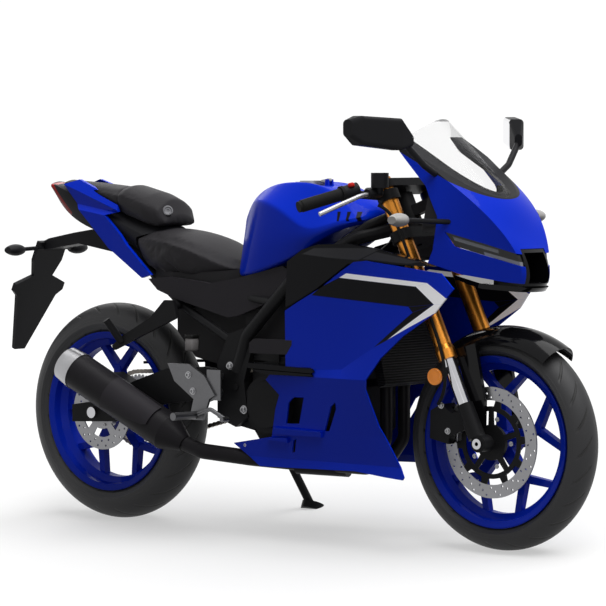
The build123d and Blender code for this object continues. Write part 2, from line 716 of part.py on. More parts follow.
def tail_pieces(frame, seat_parts):
    tray_rows = [
        (-236, 962, 30, 972, 36, 979), (-150, 880, 44, 946, 52, 967), (-40, 838, 58, 902, 66, 938),
        (90, 800, 72, 856, 82, 890), (200, 752, 80, 816, 92, 862), (262, 724, 86, 790, 96, 806),
    ]
    tray = hoop_loft(tray_rows)
    lamp = side_prism([(-236, 972), (-166, 892), (-152, 902), (-222, 980)], -34, 34)
    # Columns: x, upper ridge z, lower ridge z, half width.
    ridges = [(-210, 986, 922, 56), (-100, 952, 906, 68), (60, 901, 884, 88), (250, 842, 826, 118)]
    skin = skin_strip([(x, (upper + 60, upper, lower + 8, lower - 6, 690),
                        (half - 34, half, half - 5, half + 8, half + 12)) for x, upper, lower, half in ridges], 11)
    outline = [(-164, 972), (-112, 986), (62, 925), (72, 894), (22, 884), (92, 829), (122, 799), (232, 717),
               (192, 707), (42, 789), (-99, 905)]
    cowl = skin & side_prism(outline, -160, 0)
    seat_cut = seat_parts["rider_seat"] + seat_parts["pillion_seat"]
    tray = tray - frame - seat_cut - lamp
    return {
        "tail_cowls": pair(cowl) - tray - seat_cut - frame,
        "tail_tray": tray,
        "tail_lamp": lamp & hoop_loft(tray_rows),
    }


def plate_holder(tray):
    arm = side_prism([(40, 770), (-40, 846), (-150, 830), (-250, 812), (-276, 802), (-270, 778), (-130, 798),
                      (-20, 780)], -34, 34)
    slope = math.radians(24)
    back = (-math.cos(slope), 0, math.sin(slope))
    plane = Plane(origin=(station(-262), 0, 800), x_dir=(0, 1, 0), z_dir=back)
    half = [(60, 0), (60, 60), (40, 110), (105, 136), (105, 158), (82, 176), (22, 352)]
    outline = half + [(-a, b) for a, b in reversed(half)]
    plate = extrude(plane * polygon([(a, b) for a, b in outline]), amount=12)
    return arm + plate - tray


def rear_indicators(holder):
    stalk = rod((-270, -40, 784), (-292, -112, 780), 6)
    lamp = loft([Location((station(-292), -y, 779)) * Rotation(90, 0, 0) * Ellipse(a, b)
                 for y, a, b in ((104, 14, 11), (128, 24, 17), (166, 13, 9))])
    return pair(largest(stalk + lamp - holder))


def side_covers(frame, cowls):
    cover = side_prism([(222, 706), (300, 713), (410, 703), (450, 698), (545, 713), (716, 752), (748, 735),
                        (736, 695), (690, 652), (640, 640), (556, 610), (516, 604), (330, 650), (256, 675)],
                       -126, -112)
    panel = side_prism([(648, 512), (648, 540), (664, 552), (800, 552), (800, 512)], -188, -176)
    return pair(cover) - frame + pair(largest(panel - cowls))


def side_trims(frame, tank):
    trim = side_prism([(772, 766), (825, 800), (880, 815), (980, 818), (1080, 805), (1225, 776), (1268, 762),
                       (1030, 768), (985, 764), (875, 694), (790, 650), (766, 640)], -174, -150)
    fins = [side_prism(outline, -204, -150) for outline in side_fins]
    return pair(Part() + [trim] + fins) - frame - tank


# Columns: x, crease z, then the half width at the top, crease, seam, waist, tuck and hem.
cowl_rows = [
    (540, 470, 170, 176, 176, 150, 140, 142), (770, 470, 176, 189, 190, 166, 152, 156),
    (884, 474, 180, 196, 200, 172, 157, 164), (985, 480, 184, 200, 210, 178, 162, 171),
    (1095, 543, 184, 202, 220, 184, 170, 178), (1200, 598, 180, 202, 224, 188, 178, 184),
    (1370, 676, 168, 190, 224, 190, 186, 190),
]
cowl_top, cowl_waist, cowl_tuck, cowl_hem = 800.0, 300.0, 222.0, 180.0
ledge_rise = 9.0
belly_vents = [
    [(764, 321), (813, 323), (841, 397), (802, 396), (781, 380)],
    [(904, 307), (922, 309), (957, 371), (957, 390), (938, 377)],
    [(774, 240), (785, 243), (795, 279), (785, 276)],
]
belly_ledges = [
    [(722, 309), (896, 306), (896, 290), (718, 290)],
    [(700, 279), (768, 282), (768, 268), (690, 272)],
]
side_fins = [
    [(655, 486), (880, 478), (890, 469), (878, 465), (655, 472)],
    [(664, 469), (880, 463), (888, 457), (720, 456)],
]


def side_skins(cut):
    rows = [(x, (cowl_top, crease, cowl_seam_z, cowl_waist, cowl_tuck, cowl_hem), halves)
            for x, crease, *halves in cowl_rows]
    skin, raised = skin_strip(rows, panel_thickness), skin_strip(rows, panel_thickness, ledge_rise)
    wide = 260
    upper = [(772, 632), (814, 655), (904, 700), (964, 740), (1014, 770), (1054, 774), (1304, 745),
             (1349, 705), (1294, 640), (1194, 575), (1124, 515), (1080, 455), (884, 455), (874, 480),
             (779, 480)]
    lower = [(1080, 455), (1074, 430), (1104, 331), (1180, 196), (1176, 189), (1114, 193), (1004, 203),
             (654, 196), (644, 201), (554, 256), (704, 281), (729, 360), (749, 400), (704, 440), (720, 455)]
    side = skin & side_prism(upper, -wide, 0)
    belly = skin & side_prism(lower, -wide, 0)
    for outline in belly_ledges:
        belly += raised & side_prism(outline, -wide, 0)
    for outline in belly_vents:
        belly -= side_prism(outline, -wide, 0)
    return {"side_cowls": pair(side) - cut, "belly_cowls": pair(belly) - cut}


# Columns: z, nose x on the centreline, corner x, corner half width, rear x, rear half width.
nose_rows = [
    (690, 1478, 1462, 64, 1230, 168), (780, 1492, 1478, 70, 1230, 176), (858, 1444, 1440, 99, 1215, 182),
    (912, 1414, 1394, 122, 1195, 180), (978, 1354, 1314, 142, 1165, 172), (1057, 1275, 1208, 150, 1125, 165),
    (1156, 1175, 1140, 70, 1096, 92),
]
screen_rows = [
    (930, 1402, 1332, 110, 1164, 176), (1040, 1292, 1244, 84, 1120, 146), (1160, 1171, 1150, 38, 1095, 90),
]


def nose_solid(rows, inset):
    sections = []
    for z, nose, corner, corner_half, rear, rear_half in rows:
        nose, corner = station(nose) - inset, station(corner) - inset * 0.6
        rear = station(rear) - inset * 0.01
        c, r = corner_half - inset * 0.8, rear_half - inset
        sections.append(make_face([
            Line((rear, -r, z), (corner, -c, z)),
            ThreePointArc((corner, -c, z), (nose, 0, z), (corner, c, z)),
            Line((corner, c, z), (rear, r, z)),
            Line((rear, r, z), (rear, -r, z)),
        ]))
    return loft(sections)


def nose_pieces():
    # One shell cut in side view into cowl, lamps and wings; the screen stands on a seal behind
    # the cowl's edge.
    outer, inner = nose_solid(nose_rows, 0), nose_solid(nose_rows, panel_thickness)
    shell = outer - inner
    glass_outer, glass_inner = nose_solid(screen_rows, 0), nose_solid(screen_rows, screen_thickness)
    wide = 260
    above_lamp = [(1272, 862), (1294, 855), (1400, 822), (1500, 788), (1540, 776), (1540, 884), (1400, 936),
                  (1150, 1066), (1236, 976), (1275, 895)]
    seal_band = [(1420, 926), (1400, 936), (1150, 1066), (1128, 1099), (1128, 1105), (1395, 940), (1420, 932)]
    glass = [(1420, 932), (1395, 940), (1128, 1105), (1180, 1156), (1240, 1160), (1420, 960)]
    lamp_band = [(1294, 855), (1400, 822), (1500, 788), (1540, 776), (1540, 750), (1480, 764), (1318, 816)]
    wing = [(1272, 862), (1294, 855), (1318, 816), (1480, 764), (1540, 750), (1540, 712), (1440, 722),
            (1330, 742), (1250, 772), (1264, 806)]
    mouth = [(1384, 712), (1384, 806), (1540, 812), (1540, 704)]
    throat = [(1392, 722), (1392, 796), (1560, 802), (1560, 716)]
    lip = [(1300, 738), (1384, 718), (1540, 704), (1540, 690), (1384, 704), (1296, 728)]
    mouth_half, wall, chin_half = 54, 10, 110
    duct = side_prism(mouth, -mouth_half, mouth_half)
    scoop = side_prism(mouth, -mouth_half + fit_gap, mouth_half - fit_gap) & nose_solid(nose_rows, 2)
    scoop -= side_prism(throat, -mouth_half + wall, mouth_half - wall)
    chin = nose_solid(nose_rows, -4) & side_prism(lip, -chin_half, chin_half)
    return {
        "nose_cowl": (shell & side_prism(above_lamp, -wide, wide)) - duct,
        "headlamps": ((nose_solid(nose_rows, 7) - nose_solid(nose_rows, 16))
                      & side_prism(lamp_band, -wide, wide) - duct),
        "lamp_wings": (shell & side_prism(wing, -wide, wide)) - duct,
        "windscreen": (glass_outer - glass_inner) & side_prism(glass, -wide, wide),
        "screen_seal": (outer - nose_solid(screen_rows, 8)) & side_prism(seal_band, -wide, wide),
        "inner": inner,
        "duct": scoop + (chin - duct),
    }


def cockpit_panel(inner, frame, duct_part):
    # Shelf inside the nose with a post to the duct, on a neck from the steering head; the dash stands on it.
    shelf = inner & side_prism([(1236, 868), (1236, 880), (1420, 880), (1420, 868)], -250, 250)
    shelf += side_prism([(1250, 870), (1420, 870), (1412, 790), (1385, 790), (1372, 856), (1250, 860)],
                        -16, 16)
    foot = [fork_point(head_tube_foot + 40, 0, 20), fork_point(head_tube_foot + 70, 0, 20),
            fork_point(head_tube_foot + 62, 0, 120)]
    heel = fork_point(head_tube_foot + 34, 0, 100)
    outline = [(p.X, p.Z) for p in foot]
    outline += [(station(1258), 880), (station(1258), 862), (heel.X, heel.Z)]
    neck = local_prism(outline, -14, 14)
    dash = side_prism([(1240, 880), (1258, 960), (1286, 960), (1300, 880)], -78, 78)
    shelf -= duct_part
    return touching([shelf, neck - shelf - dash - frame, dash])


def mirrors():
    # Columns: y, middle x, middle z, depth, height.
    rows = [(244, 1250, 1096, 26, 34), (270, 1224, 1112, 50, 84), (342, 1152, 1122, 50, 78),
            (362, 1134, 1128, 30, 46)]
    shell = loft([Location((station(x), -y, z)) * Rotation(90, 0, 0) * RectangleRounded(depth, height, 12)
                  for y, x, z, depth, height in rows], ruled=True)
    stalk = tube([(1262, -120, 994), (1256, -190, 1030), (1238, -268, 1100)], 9, 40)
    return shell + stalk


def front_indicators():
    stalk = rod((1312, -120, 880), (1262, -296, 887), 7)
    lamp = loft([Location((station(1262), -y, 888)) * Rotation(90, 0, 0) * Ellipse(a, b)
                 for y, a, b in ((280, 14, 11), (302, 26, 18), (338, 14, 10))])
    return stalk + lamp


def footrests(frame):
    heel = side_prism([(350, 473), (430, 473), (485, 443), (524, 389), (504, 379), (480, 318), (430, 318),
                       (446, 376), (375, 424)], -190, -182)
    peg = rod((454, -182, 332), (450, -282, 332), 11)
    hanger = cross_rod(505, 396, 11, -182, -plate_outer) + cross_rod(508, 440, 10, -182, -plate_outer)
    hanger += side_prism([(490, 375), (490, 460), (540, 460), (540, 375)], -184, -178)
    lever = tube([(470, -196, 336), (520, -204, 352), (578, -206, 326)], 6, 20)
    lever += cross_rod(576, 326, 7, -222, -196)
    return pair(heel + peg + hanger + lever) - frame


def pillion_footrests(frame):
    hanger = side_prism([(338, 648), (352, 600), (160, 520), (112, 500), (104, 512), (140, 540), (250, 596),
                         (304, 648)], -152, -140)
    post = cross_rod(330, 632, 11, -152, -96)
    peg = rod((140, -150, 524), (114, -186, 588), 11)
    return pair(hanger + post + peg) - frame


def side_stand():
    place = Vector(station(stand_pivot.X), stand_pivot.Y, stand_pivot.Z)
    foot = Vector(station(stand_foot.X), stand_foot.Y, stand_foot.Z)
    knee = place + stand_axis * 26
    pin = stand_pin(8, -22, 20) + stand_pin(13, -26, -19)
    head = stand_pin(20, 18, 32)
    leg = bar(knee, foot + (foot - knee) * 0.08, 12)
    pad = bar(foot + Vector(0, -2, -8), foot + Vector(0, 6, 12), 32)
    return pin + head + leg + pad


def build_upright():
    pieces = {}
    pieces.update(front_wheel_pieces())
    pieces.update(rear_wheel_pieces())
    pieces.update(fork_legs())
    pieces["triple_clamps"] = triple_clamps()
    pieces.update(handlebar_pieces())
    pieces["front_fender"] = front_fender(pieces["fork_bottoms"], pieces["fork_outer_tubes"])
    pieces["front_caliper"] = front_caliper(pieces["fork_bottoms"])
    solids = frame_solids()
    frame = Part() + solids["main_frame"] + solids["seat_rails"]
    for name, members in solids.items():
        pieces[name] = touching(members)
    engine = engine_block()
    pieces["engine_block"] = engine - frame
    pieces["engine_covers"] = engine_covers(engine, frame)
    pieces["radiator"] = radiator(engine)
    pieces["exhaust_pipes"] = exhaust_pipes(engine)
    pieces.update(muffler_pieces(pieces["exhaust_pipes"]))
    carrier = swingarm()
    pieces["swingarm"] = carrier
    pieces["rear_axle"] = rear_axle_piece()
    pieces.update(shock_pieces(carrier, frame))
    pieces["drive_chain"] = drive_chain()
    pieces["chain_guard"] = chain_guard(carrier)
    pieces["rear_caliper"] = rear_caliper(carrier)
    pieces["fuel_tank"] = fuel_tank(frame)
    pieces["fuel_cap"] = fuel_cap()
    pieces.update(seats(pieces["fuel_tank"]))
    pieces.update(tail_pieces(frame, pieces))
    pieces["plate_holder"] = plate_holder(pieces["tail_tray"])
    pieces["rear_indicators"] = rear_indicators(pieces["plate_holder"])
    pieces.update(side_skins(pieces["radiator"] + pieces["engine_covers"]))
    pieces["side_covers"] = side_covers(frame, pieces["side_cowls"])
    pieces["side_covers"] -= pieces["rider_seat"]
    pieces["side_covers"] -= pieces["fuel_tank"]
    nose = nose_pieces()
    inner, duct_part = nose.pop("inner"), nose.pop("duct")
    pieces.update(nose)
    pieces["nose_duct"] = duct_part
    skins = pieces["side_cowls"] + pieces["belly_cowls"]
    pieces["side_trims"] = side_trims(frame, pieces["fuel_tank"]) - pieces["lamp_wings"] - skins
    pieces["side_trims"] -= pieces["engine_covers"]
    pieces["cockpit_panel"] = cockpit_panel(inner, frame, duct_part)
    pieces["mirrors"] = pair(largest(mirrors() - nose["nose_cowl"] - nose["screen_seal"]))
    pieces["front_indicators"] = pair(largest(front_indicators() - nose["nose_cowl"]))
    pieces["footrests"] = footrests(frame)
    pieces["pillion_footrests"] = pillion_footrests(frame)
    pieces["side_stand"] = side_stand()
    return pieces


def parking_place():
    # Leans to the left, lifts by what round tyre crowns sink by, and levels the two tyres.
    rise = 1 - math.cos(math.radians(lean_deg))
    front_sink, rear_sink = crown_radius(front_tyre_width) * rise, crown_radius(rear_tyre_width) * rise
    pitch = math.degrees((rear_sink - front_sink) / wheelbase)
    return Location((0, 0, rear_sink)) * Rotation(0, pitch, 0) * Rotation(-lean_deg, 0, 0)


def main():
    os.makedirs("parts", exist_ok=True)
    place = parking_place()
    pieces = {name: place * shape for name, shape in build_upright().items()}
    ground = Pos(0, 0, -100) * Box(4000, 4000, 200)
    pieces["side_stand"] = pieces["side_stand"] - ground
    boxes = [shape.bounding_box() for shape in pieces.values()]
    middle_x = (min(b.min.X for b in boxes) + max(b.max.X for b in boxes)) / 2
    middle_y = (min(b.min.Y for b in boxes) + max(b.max.Y for b in boxes)) / 2
    shift = Location((-middle_x, -middle_y, 0))
    for name, shape in pieces.items():
        export_step(shift * shape, f"parts/{name}.step")
    place = shift * place
    for name, point, axis in joint_lines():
        start = (place * Location(point)).position
        aim = (place * Location(point + axis)).position - start
        print(name, [round(v, 3) for v in start], [round(v, 6) for v in aim])


def joint_lines():
    # Where each moving piece turns: name, a point on the axis, the axis.
    cap_hinge = Vector(station(cap_x) + cap_reach, 0, cap_pin_z)
    stand = Vector(station(stand_pivot.X), stand_pivot.Y, stand_pivot.Z)
    return [
        ("steering", fork_point(head_tube_foot + head_tube_length / 2), steer_up),
        ("front_wheel_spin", front_axle, Vector(0, 1, 0)),
        ("rear_wheel_spin", rear_axle, Vector(0, 1, 0)),
        ("side_stand_fold", stand, stand_axis),
        ("fuel_cap_hinge", cap_hinge, Vector(0, 1, 0)),
        ("stem_bore", fork_point(upper_clamp_foot + 22), steer_up),
        ("axle_bore", front_axle + Vector(0, -leg_half_spacing - 27, 0), Vector(0, -1, 0)),
        ("upright", Vector(0, 0, 0), Vector(0, 0, 1)),
    ]


main()
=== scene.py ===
import bpy
import json
import math
import numpy as np
from mathutils import Matrix, Vector


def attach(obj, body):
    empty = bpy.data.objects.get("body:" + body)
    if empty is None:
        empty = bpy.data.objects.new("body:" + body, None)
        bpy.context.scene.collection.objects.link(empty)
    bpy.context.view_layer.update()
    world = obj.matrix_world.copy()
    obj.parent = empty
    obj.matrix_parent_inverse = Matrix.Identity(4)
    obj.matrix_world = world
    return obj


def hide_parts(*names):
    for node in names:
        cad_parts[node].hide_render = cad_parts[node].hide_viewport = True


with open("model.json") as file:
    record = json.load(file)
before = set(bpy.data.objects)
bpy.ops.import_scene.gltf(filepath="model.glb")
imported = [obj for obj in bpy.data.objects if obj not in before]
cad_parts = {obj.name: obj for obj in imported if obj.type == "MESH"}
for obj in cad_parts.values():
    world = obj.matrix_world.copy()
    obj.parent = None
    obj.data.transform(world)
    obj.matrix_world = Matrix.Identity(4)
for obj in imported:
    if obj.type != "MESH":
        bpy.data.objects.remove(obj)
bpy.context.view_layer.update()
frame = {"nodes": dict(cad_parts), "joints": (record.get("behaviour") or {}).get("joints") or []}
nodes = frame["nodes"]
scene = bpy.context.scene
print("frame loaded:", len(nodes), "nodes")

# the upright machine's axes, read from the two wheel joints: ahead, left and up; its sizes in millimetres
axles = {"wheelbase": 1380, "rearHeight": 314, "frontHeight": 293}
joints = {j["name"]: j for j in frame["joints"]}
rearAxle = np.array(joints["rear_wheel_spin"]["pos_m"])
frontAxle = np.array(joints["front_wheel_spin"]["pos_m"])
leftWay = np.array(joints["rear_wheel_spin"]["axis"])
slope = math.atan2(axles["rearHeight"] - axles["frontHeight"], axles["wheelbase"])
run = (frontAxle - rearAxle) / np.linalg.norm(frontAxle - rearAxle)
aheadWay = math.cos(slope) * run + math.sin(slope) * np.cross(run, leftWay)
upWay = np.cross(aheadWay, leftWay)
groundPoint = rearAxle - axles["rearHeight"] / 1000 * upWay
machineAxes = np.stack([aheadWay, leftWay, upWay])


# drawn millimetres (ahead of the rear axle, left, up) to the leaning machine's metres
def place(points):
    p = np.asarray(points, float) / 1000
    return groundPoint + p @ machineAxes


# a point by the steering axis: up along it from the ground, left, and ahead square to it
steering = {"rake": math.radians(25), "foot": 1475}


def forkPoint(along, left, ahead):
    sin, cos = math.sin(steering["rake"]), math.cos(steering["rake"])
    return (steering["foot"] - sin * along + cos * ahead, left, cos * along + sin * ahead)


# camera, fixed to the leaning machine so that it stands as in the photograph
camera = {"at": (6968.0, -7707.0, 1085.1), "target": (690, 0, 500), "lens": 211.8, "sensor": 36,
          "roll": -0.117, "shift": (-0.0015, 0.0853), "clip": (0.5, 100)}


def makeCamera():
    data = bpy.data.cameras.new("camera")
    data.lens, data.sensor_width = camera["lens"], camera["sensor"]
    data.shift_x, data.shift_y = camera["shift"]
    data.clip_start, data.clip_end = camera["clip"]
    made = bpy.data.objects.new("camera", data)
    scene.collection.objects.link(made)
    eye, aim = place(camera["at"]), place(camera["target"])
    back = (eye - aim) / np.linalg.norm(eye - aim)
    right = np.cross(upWay, back)
    right /= np.linalg.norm(right)
    turn = Matrix(np.stack([right, np.cross(back, right), back], 1)).to_4x4()
    roll = Matrix.Rotation(math.radians(camera["roll"]), 4, "Z")
    made.matrix_world = Matrix.Translation(eye) @ turn @ roll
    scene.camera = made
    scene.view_settings.view_transform = "Standard"


makeCamera()


# a socket with arithmetic: each operator adds one Math node
class Signal:
    def __init__(self, graph, socket):
        self.graph, self.socket = graph, socket

    def math(self, operation, a, b=None):
        sockets = {0: a} if b is None else {0: a, 1: b}
        return self.graph.node("ShaderNodeMath", {"operation": operation}, sockets)

    def __add__(self, other):
        return self.math("ADD", self, other)

    def __radd__(self, other):
        return self.math("ADD", other, self)

    def __sub__(self, other):
        return self.math("SUBTRACT", self, other)

    def __rsub__(self, other):
        return self.math("SUBTRACT", other, self)

    def __mul__(self, other):
        return self.math("MULTIPLY", self, other)

    def __rmul__(self, other):
        return self.math("MULTIPLY", other, self)

    def __truediv__(self, other):
        return self.math("DIVIDE", self, other)

    def __pow__(self, other):
        return self.math("POWER", self, other)

    def __mod__(self, other):
        return self.math("FLOORED_MODULO", self, other)

    def __gt__(self, other):
        return self.math("GREATER_THAN", self, other)

    def __abs__(self):
        return self.math("ABSOLUTE", self)

    def sine(self):
        return self.math("SINE", self)


# one material: its node tree, its coordinates and its Principled shader
class Finish:
    def __init__(self, name):
        self.material = bpy.data.materials.new(name)
        self.material.use_nodes = True
        self.tree = self.material.node_tree
        self.shader = self.tree.nodes["Principled BSDF"]
        self.point = Signal(self, self.tree.nodes.new("ShaderNodeTexCoord").outputs["Object"])

    # a node of any type: settings first, then the values or links of its sockets
    def node(self, kind, settings, sockets, output=0):
        made = self.tree.nodes.new(kind)
        for key, value in settings.items():
            setattr(made, key, value)
        for key, value in sockets.items():
            self.link(value, made.inputs[key])
        return Signal(self, made.outputs[output])

    def link(self, value, socket):
        if isinstance(value, Signal):
            self.tree.links.new(value.socket, socket)
        elif isinstance(value, tuple) and len(socket.default_value) == 4:
            socket.default_value = (*value, 1)
        else:
            socket.default_value = value

    def set(self, **sockets):
        for key, value in sockets.items():
            self.link(value, self.shader.inputs[key.replace("_", " ")])
        return self

    # how far a vector goes along a direction
    def dot(self, vector, way):
        sockets = {0: vector, 1: tuple(way)}
        return self.node("ShaderNodeVectorMath", {"operation": "DOT_PRODUCT"}, sockets, "Value")

    # the drawn machine's own coordinate along one axis, in millimetres
    def along(self, way, start=groundPoint):
        return self.dot(self.point, way) * 1000 - float(np.dot(way, start)) * 1000

    def noise(self, scale, detail):
        sockets = {"Vector": self.point, "Scale": scale, "Detail": detail}
        return self.node("ShaderNodeTexNoise", {}, sockets, "Fac")

    def mix(self, factor, a, b):
        return self.node("ShaderNodeMix", {"data_type": "RGBA"}, {0: factor, 6: a, 7: b}, 2)

    def bump(self, height, strength, distance):
        sockets = {"Height": height, "Strength": strength, "Distance": distance}
        return self.node("ShaderNodeBump", {}, sockets, "Normal")

    # smooth 0 to 1 between two values
    def step(self, value, low, high):
        return self.node("ShaderNodeMapRange", {"interpolation_type": "SMOOTHSTEP"},
                         {"Value": value, "From Min": low, "From Max": high, "To Min": 0.0, "To Max": 1.0})

    # 1 on the left of the line from a to b, going over to 0 across a strip of this half width in millimetres
    def leftOf(self, x, z, a, b, soft):
        dx, dz = b[0] - a[0], b[1] - a[1]
        size = math.hypot(dx, dz)
        return self.step((z - a[1]) * (dx / size) - (x - a[0]) * (dz / size), -soft, soft)

    # inside a convex outline given anticlockwise in (ahead, up)
    def within(self, x, z, outline, soft=0.8):
        mask = None
        for a, b in zip(outline, outline[1:] + outline[:1]):
            side = self.leftOf(x, z, a, b, soft)
            mask = side if mask is None else mask * side
        return mask

    # inside any of several outlines that lie apart
    def withinAny(self, x, z, outlines, soft):
        return sum(self.within(x, z, outline, soft) for outline in outlines)


# a mesh's points, or its normals, as rows
def meshPoints(data, what="co"):
    out = np.empty(len(data.vertices) * 3)
    data.vertices.foreach_get(what, out)
    return out.reshape(-1, 3)


def coat(finish, names):
    for name in names.split():
        data = nodes[name].data
        data.materials.clear()
        data.materials.append(finish.material)


# a colour made darker or lighter
def toned(colour, factor):
    return tuple(min(1, factor * c) for c in colour)


# lacquer: flakes under a clear coat with faint orange peel; the white film is given a little painted glow,
# painted light that lifts it where it lies in shade
paint = {"blue": (0.0005, 0.030, 0.62), "deep": (0.0005, 0.021, 0.50),
         "wheelBlue": (0.004, 0.03, 0.52), "wheelDeep": (0.003, 0.02, 0.40),
         "white": (0.86, 0.86, 0.88), "black": (0.003, 0.003, 0.004), "paintedFilmGlow": 0.2,
         "flake": 2600, "peel": 420, "peelDepth": 0.0004, "rough": 0.36, "coat": 0.13}


def lacquer(name, light, deep):
    f = Finish(name)
    colour = f.mix(f.noise(paint["flake"], 1.0), deep, light)
    f.set(Base_Color=colour, Roughness=paint["rough"], Coat_Weight=paint["coat"], Coat_Roughness=0.03,
          Specular_IOR_Level=0.02, Coat_IOR=1.4,
          Normal=f.bump(f.noise(paint["peel"], 2.0), 0.05, paint["peelDepth"]))
    return f, colour


# louvres: three dark slits on the tank's side, as outlines in (ahead, up)
louvres = [[(893 + k, 903), (907 + k, 877), (914 + k, 877), (903 + k, 903)] for k in (0, 28, 52)]


def tankBlue():
    f, colour = lacquer("tank blue", paint["blue"], paint["deep"])
    x, z = f.along(aheadWay), f.along(upWay)
    for outline in louvres:
        colour = f.mix(f.within(x, z, outline), colour, paint["black"])
    return f.set(Base_Color=colour)


# the side cowl carries a white arrow with a black band inside it, as outlines in (ahead, up)
arrow = {"white": [[(966, 727), (1227, 709), (1262, 719), (990, 739)],
                   [(1227, 709), (1290, 663), (1349, 667), (1262, 719)],
                   [(1145, 567), (1349, 667), (1290, 663)]],
         "black": [[(868, 677), (1207, 655), (1290, 663), (1227, 709), (966, 727), (900, 700)],
                   [(1095, 543), (1148, 567), (1290, 663), (1222, 640)],
                   [(1222, 640), (1290, 663), (1207, 655)]]}


def striped():
    f, colour = lacquer("striped blue", paint["blue"], paint["deep"])
    x, z = f.along(aheadWay), f.along(upWay)
    glow = (0.0, 0.0, 0.0)
    for tone in ("black", "white"):
        for outline in arrow[tone]:
            film = f.within(x, z, outline)
            colour = f.mix(film, colour, paint[tone])
            glow = f.mix(film, glow, paint[tone])
    # the white film's emission is painted glow, light painted onto it; the black band emits nothing
    return f.set(Base_Color=colour, Emission_Color=glow, Emission_Strength=paint["paintedFilmGlow"])


# moulded plastic: fine grain, with gloss that varies a little
def plastic(name, colour, rough, grain, depth, shine=0.08):
    f = Finish(name)
    worn = f.noise(9.0, 4.0)
    return f.set(Base_Color=f.mix(worn, toned(colour, 0.8), toned(colour, 1.15)),
                 Roughness=rough + 0.12 * (worn - 0.5), Specular_IOR_Level=shine,
                 Normal=f.bump(f.noise(grain, 3.0), 0.25, depth))


# gloss black trim with satin grey panels let into it, as outlines in (ahead, up)
trim = {"black": (0.006, 0.006, 0.008), "grey": (0.05, 0.05, 0.055), "rough": 0.12, "satin": 0.3, "soft": 2.0,
        "insets": [[(826, 788), (924, 779), (1020, 775), (1089, 803), (1061, 808), (868, 805)],
                   [(1034, 778), (1190, 768), (1230, 774), (1082, 798)]]}


def insetTrim():
    f = plastic("gloss black trim", trim["black"], trim["rough"], 300, 0.00005)
    panel = f.withinAny(f.along(aheadWay), f.along(upWay), trim["insets"], trim["soft"])
    return f.set(Base_Color=f.mix(panel, trim["black"], trim["grey"]),
                 Roughness=trim["rough"] + trim["satin"] * panel)


# headlamp slit: black glass with two fluted grey lens strips, as outlines in (ahead, up)
lamp = {"glass": (0.006, 0.006, 0.007), "lens": (0.26, 0.27, 0.29), "rough": 0.08, "frost": 0.2, "flute": 0.9,
        "soft": 1.2, "strips": [[(1312, 842), (1316, 832), (1425, 798), (1425, 807)],
                                [(1388, 802), (1392, 788), (1492, 758), (1497, 769)]]}


def lampGlass():
    f = plastic("lamp glass", lamp["glass"], lamp["rough"], 120, 0.0001, 0.3)
    x, z = f.along(aheadWay), f.along(upWay)
    strip = f.withinAny(x, z, lamp["strips"], lamp["soft"])
    flute = 0.5 + 0.5 * (x * lamp["flute"]).sine()
    return f.set(Base_Color=f.mix(strip, lamp["glass"], lamp["lens"]),
                 Roughness=lamp["rough"] + lamp["frost"] * strip * flute)


# tail tray: a red lens lies along its rear edge, as an outline in (ahead, up)
tray = {"black": (0.014, 0.014, 0.016), "red": (0.42, 0.008, 0.006), "rough": 0.48, "gloss": 0.34,
        "lens": [(-244, 964), (-152, 878), (-141, 889), (-230, 976)]}


def trayPlastic():
    f = plastic("tray plastic", tray["black"], tray["rough"], 900, 0.0002)
    lens = f.within(f.along(aheadWay), f.along(upWay), tray["lens"])
    return f.set(Base_Color=f.mix(lens, tray["black"], tray["red"]),
                 Roughness=tray["rough"] - tray["gloss"] * lens)


# indicator: black stalk, clear lens beyond a distance from the centreline
turnLamp = {"stalk": (0.012, 0.012, 0.013), "lens": (0.42, 0.41, 0.40), "rough": 0.3, "gloss": 0.2,
            "from": (292, 294)}


def indicator():
    f = plastic("indicator", turnLamp["stalk"], turnLamp["rough"], 400, 0.0001)
    lens = f.step(abs(f.along(leftWay)), *turnLamp["from"])
    return f.set(Base_Color=f.mix(lens, turnLamp["stalk"], turnLamp["lens"]),
                 Roughness=turnLamp["rough"] - turnLamp["gloss"] * lens)


# mirror shell: black, silver glass on the face that looks back, beyond a distance from the centreline
mirror = {"shell": (0.016, 0.016, 0.018), "glass": (0.8, 0.8, 0.82), "rough": 0.42, "gloss": 0.4,
          "facing": (0.45, 0.5), "from": (266, 268)}


def mirrorShell():
    f = plastic("mirror shell", mirror["shell"], mirror["rough"], 700, 0.0002)
    facing = f.dot(f.node("ShaderNodeTexCoord", {}, {}, "Normal"), -aheadWay)
    glass = f.step(facing, *mirror["facing"]) * f.step(abs(f.along(leftWay)), *mirror["from"])
    return f.set(Base_Color=f.mix(glass, mirror["shell"], mirror["glass"]), Metallic=glass,
                 Roughness=mirror["rough"] - mirror["gloss"] * glass)


# cast or machined metal with cloudy roughness
def metal(name, colour, rough, grain, depth, metallic=1.0):
    f = Finish(name)
    cloud = f.noise(grain, 4.0)
    return f.set(Base_Color=f.mix(cloud, toned(colour, 0.85), toned(colour, 1.1)), Metallic=metallic,
                 Roughness=rough + 0.15 * (cloud - 0.5), Specular_IOR_Level=0.08,
                 Normal=f.bump(f.noise(grain * 6, 2.0), 0.2, depth))


# ground steel: fine rings round an axle
def ringSteel(name, centre, colour, rough):
    f = Finish(name)
    x, z = f.along(aheadWay, centre), f.along(upWay, centre)
    radius = (x * x + z * z) ** 0.5
    sockets = {"W": radius, "Scale": 2.2, "Detail": 3.0}
    rings = f.node("ShaderNodeTexNoise", {"noise_dimensions": "1D"}, sockets, "Fac")
    return f.set(Base_Color=f.mix(rings, toned(colour, 0.8), colour), Metallic=1.0,
                 Roughness=rough + 0.14 * (rings - 0.5), Normal=f.bump(rings, 0.12, 0.0003))
